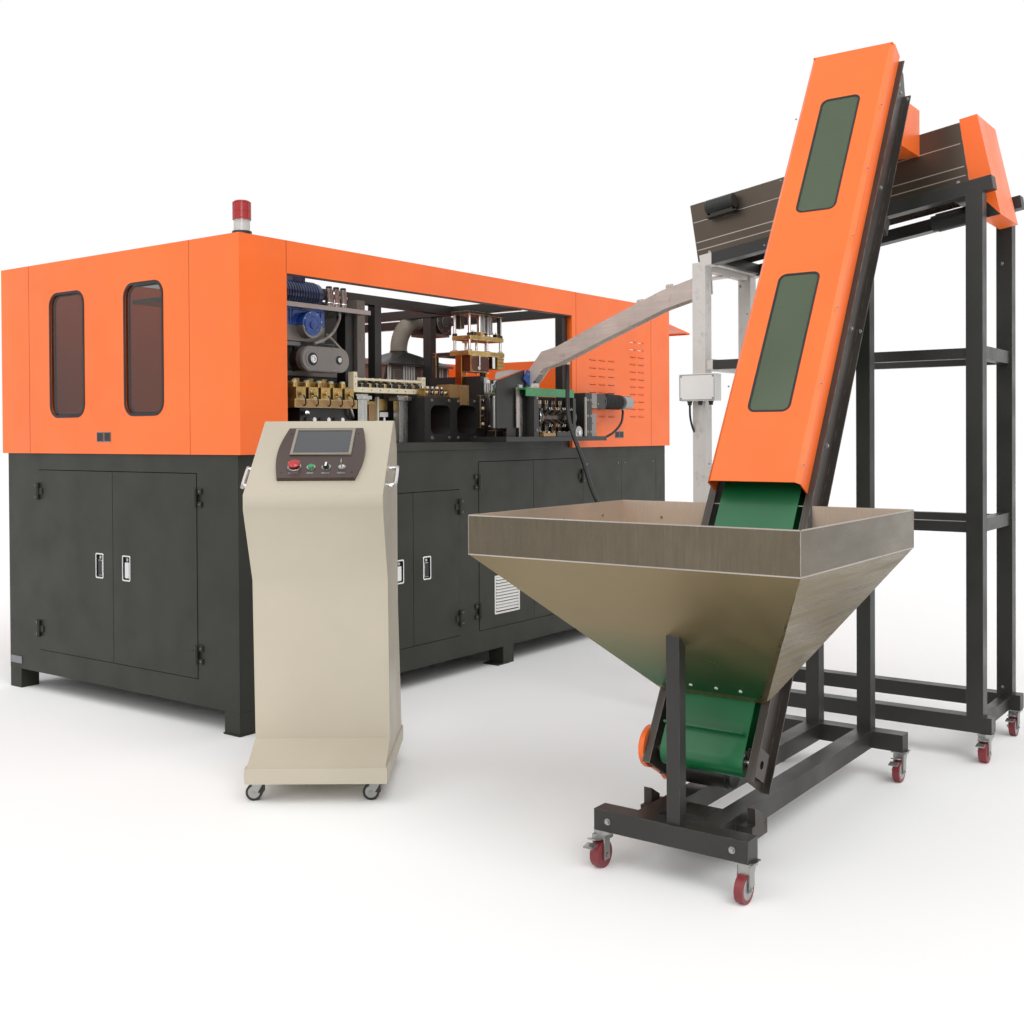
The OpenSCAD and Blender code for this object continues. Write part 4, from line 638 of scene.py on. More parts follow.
# Beacon
b = Build()
for x, y in circle(36, 16):
    b.tube([(38 + x, 8 + y, 2112), (38 + x, 8 + y, 2176)], 1.6, REDP, 6)
for z in (2108, 2142, 2177):
    b.lathe((0, 35, 0.8, 37.4, 3.2, 37.4, 4, 35), (38, 8, z), UP, REDP, 48)
b.lathe((0, 20, 0.5, 29, 3.5, 27, 5, 20), (38, 8, 2183), UP, REDP)
for z in (2060, 2106):
    b.lathe((0, 32, 0.6, 34.4, 2.4, 34.4, 3, 32), (38, 8, z), UP, STEEL, 48)
b.make("beacon_rings")


def pull(name, node, face, a, z):
    """Flush pull in a base door: bright frame, dark pan and lever. face turns (a, z, depth) to a point."""
    b = Build()
    n = Vector(face(0, 0, 1)) - Vector(face(0, 0, 0))
    b.rim((a, z), (60, 115, 8), (47, 102, 5), lambda p, q: face(p, q, -0.5), n * 3, CHROME, 0.8)
    lever = CHROME if name.endswith("a") else BLACKP
    for one, other, mat, bevel in (((-23.5, -51, -8.8), (23.5, 51, -7.4), BLACKP, 0.3),
                                   ((-16, -44, -7.6), (16, 26, -1.2), lever, 1.6)):
        ends = [face(a + p, z + q, d) for p, q, d in (one, other)]
        b.box([min(p) for p in zip(*ends)], [max(p) for p in zip(*ends)], mat, bevel)
    c = face(a, z + 38, -7.6)
    b.cyl(c, Vector(c) + n * 5, 7, STEEL, seg=24)
    b.make(name, node)


def hinge_screws(height):
    """Heights of the screws of a door's two hinges."""
    return [205 + f * height + s for f in (0.12, 0.88) for s in (-27.5, 27.5)]


# Base: pulls, vent grille, seams and hinge screws
for y, name, node in ((747, "pull_end_a", "end_door_right"), (947, "pull_end_b", "end_door_left")):
    pull(name, node, lambda a, z, d: (-2 - d, a, z), y, 640.5)
for x, name, node in (
        (974, "pull_side_1_a", "side_door_1_left"), (1174, "pull_side_1_b", "side_door_1_right"),
        (1985.5, "pull_side_2_a", "side_door_2_left"), (2185.5, "pull_side_2_b", "side_door_2_right")):
    pull(name, node, lambda a, z, d: (a, -2 - d, z), x, 576.5)

b = Build()
b.rim((1834.5, 378), (224, 205, 6), (204, 185, 3), lambda p, q: (p, -1.5, q), (0, -4, 0), WHITE, 0.8)
for i in range(11):
    z = 292 + i * 16.4
    b.box((1734, -5, z), (1935, -3.6, z + 15), WHITE, 0.4, ("X", -32))
b.make("door_vent_grille", "side_door_2_left")

b = Build()
for x in (2600, 3040, 3480):
    b.box((x - 1.2, -0.6, 206), (x + 1.2, 0.4, 1087), GROOVE, 0)
for z in (205, 1088):
    b.box((2600, -0.6, z - 1.2), (3480, 0.4, z + 1.2), GROOVE, 0)
for x in (2640, 3000, 3080, 3440):
    for z in (240, 1050):
        b.screw((x, 0, z), FRONT, 5, ZINC, 2.5)
b.box((-2, 1596, 119), (0.4, 1694, 155), PLATE, 0.6)
for x in (0, 1752.5, 3505):
    b.box((x - 4, -4, 0), (x + 99, 99, 7), DARK, 1)
b.make("base_seams")

b = Build()
for y in (237.5, 1456.5):
    for z in hinge_screws(867):
        b.screw((-7, y, z), END, 3.2, ZINC, 1.6)
for x0, x1, h in ((695, 1453, 746), (1569, 2602, 883)):
    for x in (x0, x1):
        for z in hinge_screws(h):
            b.screw((x, -7, z), FRONT, 3.2, ZINC, 1.6)
b.make("hinge_screws")


def caster_trim(b, x, y, r=WHEEL_R, h=CASTER_H):
    """Fork cheeks, bearing ring, rim and axle of a caster that the solids show plainly."""
    for s in (-1, 1):
        b.prism([(x - 30, y + s * 16, r - 9), (x - 14, y + s * 16, r - 9), (x + 14, y + s * 16, h - 8),
                 (x - 26, y + s * 16, h - 8)], (0, s * 2.5, 0), ZINC, 0.6)
        b.bolt((x - 22, y + s * 18.5, r), (0, s, 0), 5, ZINC)
        b.lathe((0, r * 0.74, 1.2, r * 0.7, 1.4, r * 0.35, 2.6, r * 0.3), (x - 22, y + s * 11.8, r),
                (0, s, 0), ALU, 32)
    b.lathe((0, 17, 1, 22, 6, 24, 8, 24), (x, y, h - 14), UP, ZINC, 32)
    b.box((x - 30, y - 26, h - 4.5), (x + 30, y + 26, h - 0.5), ZINC, 0.8)


def brake(b, x, y):
    """Foot lever over the wheel."""
    b.box((x - 74, y - 13, 84), (x - 26, y + 13, 88), ZINC, 1, ("Y", 14))
    b.box((x - 92, y - 16, 72), (x - 64, y + 16, 77), ZINC, 1.5, ("Y", -12))


# Console
b = Build(DESK)
for x, w in ((-78, 32), (-22, 22), (29, 26), (82, 26)):
    b.box((x - w / 2, 95, 13.5), (x + w / 2, 104, 15), PLATE, 0.4)
b.lathe((0, 12, 0.3, 21.5, 2.4, 20.5, 2.8, 12), (-78, 130, 18.5), UP, STEEL)
b.rim((0, 277.5), (206, 151, 6), (192, 137, 3), lambda p, q: (p, q, 18.6), (0, 0, 1.4), TRIM, 0.5)
for x in (-118, 118):
    for y in (105, 330):
        b.screw((x, y, 14), UP, 3.4, BLACKP, 1.4)
b.make("fascia_labels_and_frame")

b = Build(DESK)
for s in (-1, 1):
    path = ((229, 112), (246, 112), (256, 116), (258, 128), (258, 192), (256, 204), (246, 208), (229, 208))
    b.tube(route([(s * x, y, -48) for x, y in path], 4), 7.6, CHROME, 16)
    for y in (112, 208):
        b.lathe((0, 13, 2, 13, 4, 9), (s * 229.5, y, -48), (s, 0, 0), CHROME, 28)
b.make("console_handles")

b = Build(CONSOLE)
for x in (-197, 197):
    for y in (70, 498):
        caster_trim(b, x, y, 28, 74)
b.make("console_casters")

b = Build(DESK).lathe((0, 14, 1, 20.5, 6, 20.8, 9, 17, 11, 10, 11.6, 2), (-78, 130, 27.5), UP, REDP)
b.make("stop_mushroom", "emergency_stop")
b = Build(DESK).lathe((0, 9.9, 2, 9.9, 3, 9, 3.4, 3), (-22, 130, 21), UP, GREENP, 32)
b.make("start_cap", "start_button")
b = Build(DESK).box((25.8, 119.5, 29.5), (32.2, 140.5, 30.6), WHITE, 0.2)
b.make("selector_mark", "selector_switch")
b = Build(DESK).lathe((0, 4, 0.8, 9, 2.4, 9, 3.2, 4), (82, 130, 42), (1, 0, 0), STEEL, 24)
b.make("key_bow", "key_switch")

b = Build(BACK)
b.box((268, -7.5, 200), (300, -4.5, 300), CHROME, 0.8)
for i in range(9):
    b.box((70, -3.6, 330 + i * 12), (320, -1.2, 336 + i * 12), BLACKP, 0.5)
b.make("console_door_trim", "console_door")

# Drive, its belt guard, the blocks behind it on a dark sheet of painted shade, and post
b = Build()
b.prism(rounded(688, 1580, 310, 115, 57, lambda p, q: (p, 188, q), 16), (0, 42, 0), GREY, 5)
b.prism(rounded(688, 1580, 262, 80, 39.5, lambda p, q: (p, 186.2, q), 14), (0, 3, 0), GREY, 1.2)
b.lathe((0, 30, 1.12, 30, 1.6, 29.52), (601, 186.4, 1578), FRONT, BLACKP, 36)
b.lathe((0, 19, 6, 19, 8, 16, 8, 10, 4, 9), (601, 185, 1578), FRONT, CHROME)
b.lathe((0, 21, 1.12, 21, 1.6, 20.52), (770, 186.4, 1580), FRONT, BLACKP, 36)
b.lathe((0, 12, 6, 12, 8, 9, 8, 5, 5, 4), (770, 185, 1580), FRONT, CHROME, 32)
for x, z in ((640, 1630), (735, 1630), (640, 1530), (735, 1530)):
    b.screw((x, 188, z), FRONT, 4, STEEL, 2.5)
b.cyl((593, 230.5, 1578), (593, 279.5, 1578), 53, BLACK, seg=56, bevel=3)
b.cyl((783, 230.5, 1580), (783, 279.5, 1580), 40, BLACK, seg=48, bevel=3)
b.box((580, 280, 1523), (840, 300, 1661.5), BLACK, 2)
b.make("timing_belt_guard", "belt_cover", stand_in=True)

b = Build()
b.lathe((0, 50, 4, 49, 4, 38, 1.5, 36, 1.5, 20, 7, 18, 8, 6), (620, 205, 1737), FRONT, BLUE, 48)
for x, z in circle(56, 8, 0.3):
    b.screw((620 + x, 205, 1737 + z), FRONT, 3.6, CHROME, 3)
for x in (*range(318, 552, 18), 694, 712):
    b.box((x, 245.5, 1742), (x + 8, 250.4, 1806), BLUE, 1.6)
b.boxes([(330, 262, 1640, 600, 488, 1661.6, GREY, 2), (262, 240, 1600, 300, 470, 1661.6, BLACK, 2)])
for i in range(13):
    b.lathe((0, 59.5, 0.6, 64, 5, 64, 5.6, 59.5), (560 + i * 17, 370, 1896), (1, 0, 0), NAVY, 48)
b.lathe((0, 30, 2, 48, 4, 48, 6, 20), (505, 370, 1896), END, NAVY)
for x in (850, 898, 946):
    b.lathe((0, 15, 9, 15, 11, 11), (x, 330, 1936), UP, BLACKP, 28)
    b.lathe((0, 19.6, 3, 20.6, 6, 19.6), (x, 330, 1862), UP, CHROME, 28)
b.tube(route([
    (850, 308, 1916), (850, 296, 1916), (842, 288, 1905), (842, 288, 1860), (836, 300, 1834)], 5),
    3.5, CHROME, 10)
b.box((8.5, 196.4, 1810), (1000, 199.7, 1832), LIP, 0.6)
b.make("drive_fittings")

b = Build()
# A dark sheet behind the drive: painted shade for the dark inside of the machine
b.box((262, 524, 1200), (1288, 540, 1900), BLACK, 2)
for i in range(7):
    x = 300 + i * 132
    b.box((x, 508, 1560), (x + 112, 523.5, 1640), BLACKP if i % 2 else GREY, 3)
    b.box((x, 508, 1440), (x + 112, 523.5, 1500), BLACKP, 3)
b.box((300, 510, 1520), (1240, 523.5, 1545), GREY, 1.5)
b.make("drive_back_blocks_on_shade_sheet")

b = Build()
b.boxes([
    (1001, 290, 1200.5, 1059, 350, 1893, POST, 2), (985, 276, 1190.3, 1075, 364, 1200.3, POST, 1.5),
    (1006, 350.2, 1850, 1054, 439.6, 1885, POST, 2)])
for x in (993, 1067):
    for y in (284, 356):
        b.bolt((x, y, 1200.5), UP, 4.5, ZINC)
for z in (1300, 1500, 1700, 1860):
    b.bolt((1030, 290, z), FRONT, 4.5, ZINC)
b.make("grey_post")

# Transfer rail, preform turner and valves
b = Build()
b.boxes([(907, 225, 1436, 1440, 275, 1461, CREAM, 1.5), (934.3, 228, 1495, 1412.7, 236, 1506, CREAM, 1)])
for x, top in ((907, 1534), (1413, 1526)):
    b.box((x, 225, 1461.2), (x + 27, 262, top), CREAM, 1.5)
    for z in (1475, 1512):
        b.screw((x + 13, 225, z), FRONT, 4, STEEL, 2)
for i in range(9):
    x = 958 + i * 54
    b.lathe((0, 14, 5, 14, 6, 10, 20, 10, 21, 12.5, 26, 12.5, 27, 8, 42, 8), (x, 250, 1461.2),
            UP, BLACKP, 28)
    b.lathe((0, 11, 1, 12, 4, 12, 5, 11), (x, 250, 1490), UP, GOLD, 28)
    b.lathe((0, 7, 5, 7, 6, 5), (x, 250, 1503.3), UP, WHITE, 24)
    b.box((x + 19, 238, 1461.3), (x + 35, 262, 1481), GOLD if i % 2 else BLACK, 1.5)
for x in range(970, 1405, 62):
    b.screw((x, 225, 1449), FRONT, 4, STEEL, 2)
b.make("transfer_rail", "transfer_bar", stand_in=True)

b = Build()
b.boxes([
    (1078, 356, 1470, 1288, 378, 1492), (1078, 366, DECK, 1096, 378, 1470),
    (1270, 366, DECK, 1288, 378, 1470)], BLACK, 1.5)
for i in range(6):
    b.lathe((0, 11, 10, 11, 12, 8, 22, 8, 23, 4), (1096 + 35 * i, 356, 1481), FRONT,
            CREAM if i % 3 else GOLD, 24)
b.boxes([
    (1030, 366, DECK, 1062, 440, 1421, GOLD, 3), (1070, 296, DECK, 1134, 354, 1400, GOLD, 4),
    (1078, 290, 1300, 1126, 296, 1380, TAN, 2)])
b.cyl((1102, 325, 1400), (1102, 325, 1424), 15, CHROME)
b.boxes([
    (1147, 296, DECK, 1163, 312, 1421, CREAM, 1.5), (1169, 305, 1350, 1236, 352, 1412, GOLD, 3),
    (1169, 300, 1318, 1234, 304.6, 1345, WHITE, 1.5), (1180, 312, DECK, 1226, 350, 1350, BLACK, 2)])
b.cyl((1200, 298, 1200), (1200, 298, 1318), 9, CHROME)
for z in (1312, 1368):
    for x in (1080, 1124):
        b.screw((x, 290, z), FRONT, 3.5, STEEL, 2)
b.make("preform_turner")

b = Build()
for i in range(5):
    x = 545 + i * 78
    b.lathe((0, 12, 3, 13, 9, 13, 12, 9, 13, 3), (x, 252, 1472), UP, CREAM, 28)
    for dx in (-15, 15):
        b.screw((x + dx, 205, 1432), FRONT, 4, CHROME, 2.5)
    b.lathe((0, 9, 5, 9, 6, 6, 14, 6, 15, 4), (x, 205, 1410), FRONT, CHROME if i % 2 else CREAM, 24)
    b.tube(route([
        (x, 190, 1410), (x, 182, 1404), (x + 4, 180, 1390), (x + 10, 186, 1372), (x + 10, 200, 1362)], 4),
        3.2, BLACKP, 10)
b.box((512, 198, 1357), (893, 199.8, 1392), TAN, 0.8)
for i in range(6):
    b.lathe((0, 12, 7, 12, 9, 9), (600 + i * 46, 229.8, 1300), FRONT, CHROME if i % 2 else BLACKP, 24)
b.box((600, 226, 1210), (840, 229.8, 1262), GREY, 1.5)
b.lathe((0, 10, 8, 15, 18, 15, 26, 8, 28, 2), (585, 222, 1330), FRONT, CHROME, 28)
b.tube(route([
    (860, 228, 1395), (866, 214, 1372), (874, 208, 1340), (886, 212, 1316), (898, 226, 1306)], 6),
    8, STEEL, 14)
b.make("valve_fittings")

# Oven front, duct and fan
b = Build()
for x in (1668, 1684, 1800, 1822, 1844, 1866, 1888, 2120, 2142, 2190):
    b.box((x, 693.5, 1450), (x + 9, 699.7, 1622), WHITE, 1)
for x in (1720, 1960, 2060):
    b.box((x, 696.5, 1470), (x + 60, 699.7, 1600), GREY, 1.5)
for i in range(7):
    b.lathe((0, 11, 5, 11, 7, 8, 20, 8, 22, 5), (1700 + i * 78, 660, 1425), UP,
            CREAM if i % 2 else GOLD, 24)
b.box((1670, 646, 1400), (2200, 674, 1425), BLACK, 1.5)
for x in (1680, 2170):
    b.box((x, 650, DECK), (x + 20, 670, 1400), BLACK, 1.5)
b.make("oven_front_fittings")

b = Build()
path = route([(1910, 830, 1704), (1911, 829, 1752), (1924, 824, 1806), (1952, 812, 1856), (1996, 796, 1892),
              (2059, 790, 1900)], 7)
b.tube(path, 45, DUCT, 40)
for i in range(1, len(path) - 1):
    t = (path[i + 1] - path[i - 1]).normalized()
    b.lathe((-3, 44.5, -1.4, 50, 1.4, 50, 3, 44.5), path[i], t, DUCT)
    if i < len(path) - 2:
        m = (path[i] + path[i + 1]) / 2
        b.lathe((-2, 44.5, -1, 48, 1, 48, 2, 44.5), m, t, DUCT)
b.lathe((0, 53, 10, 53, 12, 50), (1910, 830, 1705), UP, BLACK)
b.box((2060, 700, 1812), (2250, 890, 1988), BLACK, 14)
b.cyl((2155, 681, 1898), (2155, 700.5, 1898), 70, BLACKP, seg=48, bevel=3)
b.cyl((2155, 676, 1898), (2155, 681.5, 1898), 30, BLACK, seg=32, bevel=1.5)
for x, z in circle(60, 6):
    b.screw((2155 + x, 681, 1898 + z), FRONT, 4, ZINC, 2.5)
b.box((1975.3, 770, 1912), (2060, 800, 1942), BLACK, 2)
b.make("hood_duct_and_fan", "exhaust_duct", stand_in=True)

# Stretch station and its plate
b = Build()
b.boxes([
    (1772, 200, 1660, 2098, 335, 1686, GOLD, 2.5), (1777, 255, CLAMP_TOP, 1815, 300, 1660, COPPER, 2),
    (1690, 265, CLAMP_TOP, 1777, 300, 1436, COPPER, 2), (1796, 205, 1571, 1962, 300, 1659.8, REDBROWN, 4)])
b.cyl((1868, 201, 1602), (1868, 201, 1659.8), 4.5, CHROME)
b.lathe((0, 11, 2.1, 11, 3, 10.1), (1868, 205, 1592), FRONT, WHITE, 24)
for x in (1806, 1952):
    for z in (1582, 1648):
        b.screw((x, 205, z), FRONT, 3.5, STEEL, 2)
b.boxes([(1990, 205, 1594, 2016, 235, 1659.8, CHROME, 2), (2034, 205, 1594, 2098, 300, 1659.8, GOLD, 3)])
for z in (1606, 1626, 1646):
    b.box((2036, 202.6, z), (2096, 205, z + 8), TAN, 0.6)
for x in (1812, 2060):
    b.box((x, 335, 1662), (x + 26, 465, 1684), BLACK, 2)
b.box((1812, 465, 1662), (2268, 491, 1684), BLACK, 2)
for x in (1812, 2242):
    b.box((x, 465, DECK), (x + 26, 491, 1661.8), BLACK, 2)
for y in (254, 330):
    b.lathe((0, 19, 6, 19, 8, 16), (2005, y, 1686), UP, STEEL, 28)
for x in (1798, 2078):
    for y in (216, 318):
        b.cyl((x, y, 1686), (x, y, 1902), 8, CHROME, seg=24)
        b.lathe((0, 15, 5, 15, 6.5, 13), (x, y, 1686), UP, STEEL, 6)
b.boxes([(1782, 204, 1884, 1926, 332, 1901.6), (1926, 204, 1884, 2094, 332, 1901.6)], BLACK, 2)
for x in (1964, 2026):
    b.cyl((x, 262, 1800), (x, 262, 1884), 25, ALU, seg=44, bevel=1)
    b.lathe((0, 27, 2, 29, 9, 29, 11, 27), (x, 262, 1790), UP, STEEL, 44)
    b.lathe((0, 27, 1, 28, 7, 28, 8, 27), (x, 262, 1872), UP, STEEL, 44)
b.cyl((1886, 214, 1790), (1886, 214, 1884), 8, CHROME, seg=24)
b.cyl((2062, 214, 1776), (2062, 214, 1884), 10, BLACKP, seg=24)
b.box((1816, 290, 1810), (1850, 330, 1884), BLACK, 3)
b.make("stretch_station", "stretch_frame", stand_in=True)

b = Build()
b.box((1786, 200, 1745), (2090, 330, 1769), GOLD, 2.5)
for x in (1964, 2026):
    b.cyl((x, 262, 1769), (x, 262, 1840), 9, CHROME, seg=24)
    b.lathe((0, 17, 8, 17, 10, 14), (x, 262, 1769), UP, STEEL, 6)
for x in (1798, 2078):
    for y in (216, 318):
        b.lathe((0, 13.5, 12, 13.5, 14, 11), (x, y, 1769), UP, BLACKP, 28)
for x, m in ((1836, BLACK), (1900, GOLD), (2050, BLACK)):
    b.box((x - 14, 206, 1769), (x + 14, 238, 1790), m, 2)
    b.cyl((x, 222, 1790), (x, 222, 1800), 7, CHROME)
b.box((1990, 330, 1748), (2020, 422, 1766), GOLD, 2)
for y in (254, 330, 406):
    b.cyl((2005, y, 1567), (2005, y, 1748), 7, CHROME, seg=20)
b.make("stretch_plate", "stretch_carriage", stand_in=True)

# Fittings of the clamp
b = Build()
b.boxes([
    (1556, 156, CLAMP_TOP, 1700, 252, 1492, TAN, 3), (1625, 143, 1384, 1700, 149.6, 1490, TAN, 1.5),
    (1628, 149.6, 1440, 1696, 156, 1486, TAN, 1)])
for x in (1638, 1688):
    for z in (1476, 1400):
        b.screw((x, 143, z), FRONT, 4, STEEL, 2)
b.box((1352, 156, CLAMP_TOP), (1548, 216, 1428), BLACK, 1)
for i in range(5):
    x = 1358 + i * 38
    b.box((x, 160, 1428), (x + 30, 214, 1466), GOLD if i % 2 == 0 else BLACK, 2)
    b.lathe((0, 9, 10, 9, 12, 6), (x + 15, 188, 1466), UP, CREAM if i % 2 else CHROME, 24)
    b.lathe((0, 7, 8, 7, 10, 4), (x + 15, 160, 1446), FRONT, CHROME, 20)
b.cyl((1886, 112, 1262), (1886, 112, 1440), 25, ALU, seg=44, bevel=2)
b.lathe((0, 29, 12, 29, 14, 26), (1886, 112, 1426), UP, STEEL)
b.lathe((0, 31, 10, 31, 12, 27), (1886, 112, 1250), UP, BLACK)
b.boxes([(1850, 80, DECK, 1922, 140, 1250), (1772, 124, 1262, 1808, 149.4, 1440)], BLACK, 3)
for i in range(4):
    b.lathe((0, 8, 8, 8, 10, 5), (1790, 124, 1285 + i * 42), FRONT, CHROME if i % 2 else CREAM, 20)
for i, x in enumerate((1834, 1864, 1900)):
    b.cyl((x, 118, 1455), (x, 118, 1504), 9, CHROME, seg=24)
    b.lathe((0, 12, 14, 12, 18, 8), (x, 118, 1504), UP, WHITE if i != 1 else BLACKP, 28)
b.box((1822, 102, 1443), (1914, 134, 1455), GREY, 2)
for x in (1400, 1540, 1615, 1755):
    for z in (1405, 1212):
        b.bolt((x, 150, z), FRONT, 7, ZINC)
b.make("clamp_fittings")

# Loader cover, fittings, grippers and servo
b = Build()
b.boxes([
    (1768, -175, 1462, 2228, 20, 1472, GREEN, 1), (1768, -181, 1428, 2228, -175.2, 1472, GREEN, 1),
    (1768, 20.2, 1440, 2228, 26, 1472, GREEN, 1), (1862, -150, 1440.3, 1892, 0, 1461.8, BLACK, 1.5),
    (1870, -90, 1472.3, 1940, -20, 1535, NAVY, 3), (1884, -76, 1535, 1926, -34, 1556, GREY, 2)])
for x in range(1800, 2220, 70):
    b.screw((x, -181, 1450), FRONT, 3.5, STEEL, 1.5)
b.make("loader_cover", "loader_guard", stand_in=True)

b = Build()
b.box((1905, 30, 1216), (2355, 34, 1438), BLACK, 1)
shape = ((1602, 1508), (1613, 1549), (1733, 1566), (1846, 1569))
b.prism([(x, -104, z) for x, z in shape], (0, 4, 0), LIP, 0.5)
b.boxes([
    (1759, -124.5, 1262, 1789.5, -120.8, 1474, LIP, 0.8), (1826, -121, 1215.4, 1852, -113, 1474, BLACKP, 1)])
shape = ((1826, 1520), (1862, 1572), (1905, 1560), (1948, 1494), (1925, 1484), (1880, 1484))
b.prism([(x, -124, z) for x, z in shape], (0, 7, 0), BLUE, 1.5)
for x, z in ((1866, 1545), (1925, 1500)):
    b.bolt((x, -124, z), FRONT, 6, ZINC)
b.boxes([(1930, -178, 1215.4, 2050, -150, 1236, TAN, 2), (2060, -178, 1215.4, 2228, -150, 1240, BLACK, 2)])
for i in range(6):
    b.lathe((0, 9, 6, 9, 8, 6), (1945 + i * 50, -166, 1236), UP, CHROME if i % 2 else GOLD, 24)
b.boxes([(2214, -182, 1244, 2244, -150, 1426, BLACK, 2), (2344, -180, 1216, 2358, -171, 1436, LIP, 1)])
b.cyl((2290, -172, 1236), (2290, -150, 1236), 38, ALU, seg=48, bevel=2)
b.cyl((2290, -178, 1236), (2290, -172, 1236), 14, CHROME, seg=32)
for x in (2380, 2410):
    for z in (1240, 1330, 1420):
        b.bolt((x, -170, z), FRONT, 6, ZINC)
for z in (1250, 1420):
    b.bolt((1878, -170, z), FRONT, 6, ZINC)
for x in (2440, 2496):
    for z in (1290, 1400):
        b.screw((x, -170, z), FRONT, 5, ZINC, 2.5)
b.make("loader_fittings")

b = Build()
for row in range(6):
    b.base = placed(WORLD, (0, -100, 1320), "X", 60 * row)
    for i in range(4):
        x = 1999 + 66 * i
        for dx in (-10, 10):
            b.box((x + dx - 3, -8, 72), (x + dx + 3, 8, 92), GOLD if i % 2 else CHROME, 1.2)
        b.screw((x, -6, 52), FRONT, 4, GOLD, 2)
b.base = WORLD
outer, inner = [[(1926, -100 + y, 1320 + z) for y, z in circle(r, 48)] for r in (66, 44)]
b.ring(outer, inner, (19.5, 0, 0), BLACKP, 2)
for y, z in circle(55, 6, 0.4):
    b.bolt((1926, -100 + y, 1320 + z), END, 4, GOLD)
b.make("gripper_jaws", "loader_drum")

b = Build()
for i in range(13):
    b.lathe((0, 40.2, 0.8, 44, 5.2, 44, 6, 40.2), (2648 + i * 15.5, -100, 1417), (1, 0, 0), BLACKP, 44)
b.lathe((0, 36.2, 3, 41, 88, 41, 93, 36), (2871, -100, 1417), (1, 0, 0), ALU, 44)
b.box((2690, -118, 1455), (2760, -82, 1466), BLACKP, 2)
b.make("servo_ribs")

# Elevator, hopper, sorter, tower and casters
b = Build(CLIMB)
for s0, s1 in ((255, 790), (1063, 1578)):
    mid, w = (s0 + s1) / 2, s1 - s0
    b.rim((mid, 0), (w + 10, 146, 27), (w - 4, 132, 20), lambda p, q: (p, q, 0.1), (0, 0, 1.3), RUBBER, 0.4)
for s0 in range(60, 1800, 290):
    for y in (-158, 158):
        b.screw((s0, y, 0), UP, 3.5, ZINC, 1.6)
b.make("cover_seals", "elevator_cover")

b = Build(CLIMB)
for s0 in (1650, 1210, 620, 180, -260, -620):
    b.bolt((s0, -175, -95), FRONT, 6, ZINC)
for s0 in (1650, 620, -260):
    b.bolt((s0 + 40, -175, -170), FRONT, 5, ZINC)
b.make("channel_bolts")

b = Build()
for y in (-2265, -2190, -2110, -2035):
    b.screw((-109 - 20 * 486 / 411, y, 502), (-0.646, 0, -0.764), 5, WHITE, 3)
b.make("throat_bolts", "hopper")

b = Build()
b.boxes([
    (-595.7, -2629.7, 1000, 250.6, -2627.5, 1003.4), (-595.7, -2629.7, 1000, -593.5, -1660.4, 1003.4),
    (248.6, -2629.7, 1000, 250.7, -1660.4, 1003.4), (-595.7, -1662.5, 1000, 250.6, -1660.4, 1003.4)],
    LIP, 0.5)
b.box((-595.6, -2629.6, 891.5), (250.5, -2628.4, 895), LIP, 0.4)
b.box((-595.6, -2629.6, 891.5), (-594.4, -1660.5, 895), LIP, 0.4)
for x in (-595.6, 249.4):
    for y in (-2629.6, -1661.7):
        b.box((x, y, 893), (x + 1.2, y + 1.2, 1002), LIP, 0.3)
for x in (-120, 110):
    b.screw((x, -1664.5, 960), FRONT, 5, ZINC, 2.5)
for y in (-2470, -2290, -1990, -1810):
    b.screw((246.6, y, 950), END, 5, ZINC, 2.5)
b.make("hopper_edge_beads", "hopper")

b = Build(SORTER)
# Bright strips along the side at its fold and two rail lines; the strip at the fold is a painted highlight
for z0, z1 in ((-82, -78.5), (-172, -168), (-207, -203)):
    b.boxes([(-140.8, -1150, z0, -139.7, -4, z1), (139.7, -1150, z0, 140.8, -4, z1)], LIP, 0.3)
for i in range(10):
    b.lathe((0, 30, 0.6, 33.2, 5, 33.2, 5.6, 30), (-174, -222 + i * 12.6, -44), (0, 1, 0), BLACKP, 36)
for y in (-60, -420, -780, -1120):
    for s in (-1, 1):
        b.bolt((s * 140, y, -225), (s, 0, 0), 5, ZINC)
b.make("sorter_side_folds", "sorter_trough")

b = Build()
outer, inner = [[(1289.9, y, z) for y, z in ((y0, z0), (y1, z0), (y1, z1), (y0, z1))]
                for y0, y1, z0, z1 in ((-1492, -1328, 1368, 1477), (-1489, -1331, 1371, 1474))]
b.ring(outer, inner, (-0.6, 0, 0), PLATE, 0)
for y in (-1484, -1336):
    for z in (1376, 1469):
        b.screw((1290, y, z), END, 4, ZINC, 1.8)
for y in (-1460, -1410, -1360):
    b.lathe((0, 11, 6, 11, 7, 9, 16, 9, 18, 6), (1322, y, 1365), (0, 0, -1), BLACKP, 24)
b.make("control_box_trim")

b = Build()
for x, y in ((-319, -2369), (959, -2369), (959, -1931), (1830, -2554), (1374, -1356), (1830, -1356)):
    caster_trim(b, x, y)
for x, y in ((959, -2369), (1830, -2554), (1830, -1356)):
    brake(b, x, y)
b.make("caster_trim")
for name, x, y in (("stand", -319, -1931), ("tower", 1374, -2554)):
    b = Build()
    brake(b, x, y)
    for k in (-1, 1):
        b.bolt((x - 22, y + k * 18.5, WHEEL_R), (0, k, 0), 5, ZINC)
    b.make(name + "_brake_lever", name + "_fork")
    b = Build()
    for k in (-1, 1):
        b.lathe((0, 28, 1.2, 26.5, 1.4, 13, 2.6, 11), (x - 22, y + k * 11.8, WHEEL_R), (0, k, 0), ALU, 32)
    b.make(name + "_hub_discs", name + "_wheel")

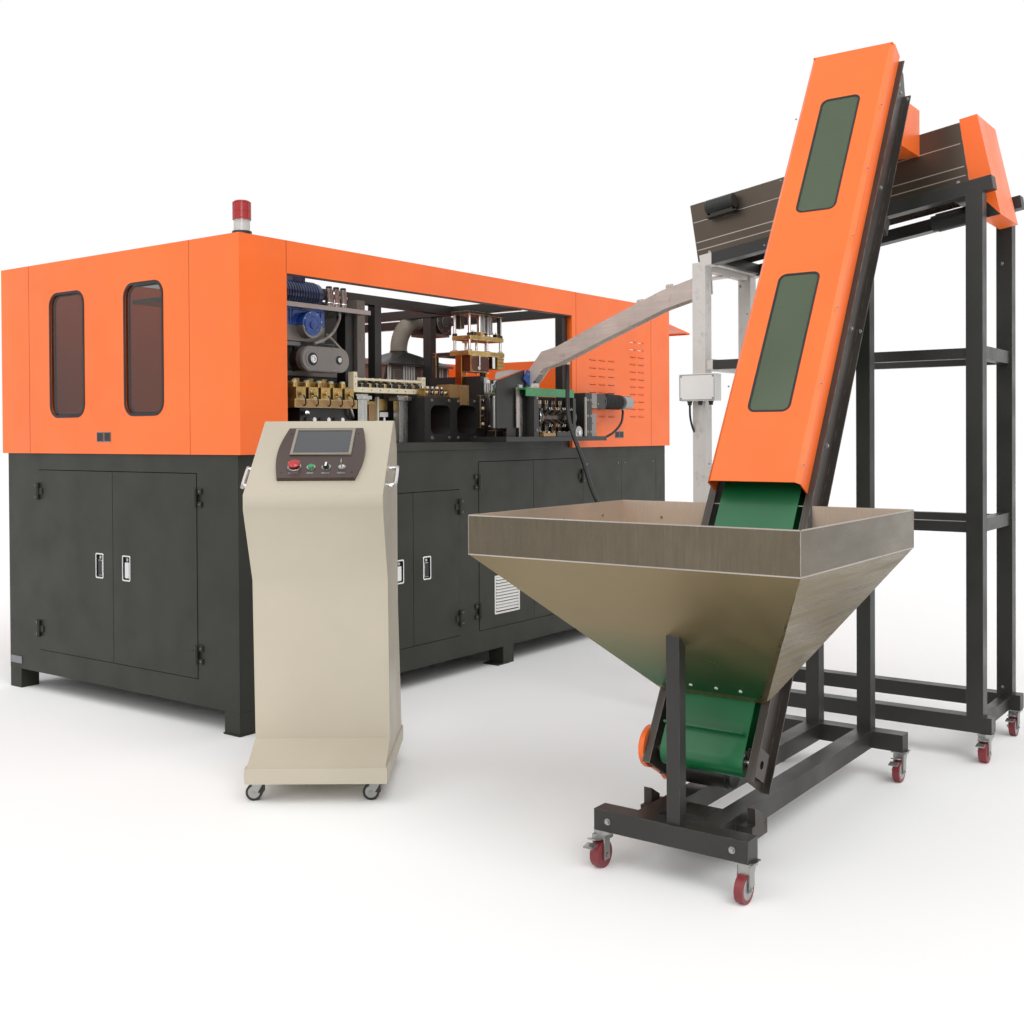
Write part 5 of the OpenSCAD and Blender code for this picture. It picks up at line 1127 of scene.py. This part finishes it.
b = Build()
for x in (1380, 1770):
    for y in (-1389.8, -2520.2):
        for z in (200, 860, 1510, 1900):
            b.bolt((x, y, z), (0, 1 if y > -2000 else -1, 0), 6, ZINC)
for x in (-350.2, 990.2):
    for y in (-2340, -1960):
        b.bolt((x, y, 135), (1 if x > 0 else -1, 0, 0), 7, ZINC)
b.make("frame_bolts")


# Floor, world, lamps
def lamp(name, kind, at, to, energy, **settings):
    data = bpy.data.lights.new(name, kind)
    data.energy = energy
    for key, value in settings.items():
        setattr(data, key, value)
    back = Vector(at) - Vector(to)
    turn = back.to_track_quat("Z", "Y").to_matrix().to_4x4()
    add_object(name, data).matrix_world = Matrix.Translation(at) @ turn


m, nt, bsdf = new_material("floor_white")
tone = mixed(nt, (0.985, 0.985, 0.985), (1, 1, 1), noise(nt, 0.5))
feed(nt, bsdf, {"Base Color": tone, "Roughness": 0.9, "Specular IOR Level": 0.0})
mesh = bpy.data.meshes.new("floor")
s = 60
mesh.from_pydata([(-s, -s, 0), (s, -s, 0), (s, s, 0), (-s, s, 0)], [], [(0, 1, 2, 3)])
mesh.materials.append(m)
add_object("floor", mesh)

world = bpy.data.worlds.new("world")
bpy.context.scene.world = world
world.use_nodes = True
nt = world.node_tree
rays = shader(nt, "LightPath").outputs
seen = rays["Is Camera Ray"]
for ray in ("Is Glossy Ray", "Is Transmission Ray"):
    seen = shader(nt, "Math", {0: seen, 1: rays[ray]}, operation="MAXIMUM").outputs[0]
light = feed(nt, nt.nodes["Background"], {"Color": (1, 1, 1, 1), "Strength": 0.65})
white = shader(nt, "Background", {"Color": (1, 1, 1, 1), "Strength": 1.0})
mix = shader(nt, "MixShader", {0: seen, 1: light.outputs[0], 2: white.outputs[0]})
feed(nt, nt.nodes["World Output"], {"Surface": mix.outputs[0]})

lamp("key", "SUN", (-4, -7, 9), (0, 0, 0), 1.15, angle=radians(40))
lamp("side", "SUN", (-8, 1.5, 7), (0, 0, 0), 0.55, angle=radians(50))
lamp("fill", "AREA", (-6, -6, 3.5), (0.5, -0.6, 1), 90, shape="RECTANGLE", size=3, size_y=2)
bpy.context.scene.view_settings.view_transform = "Standard"
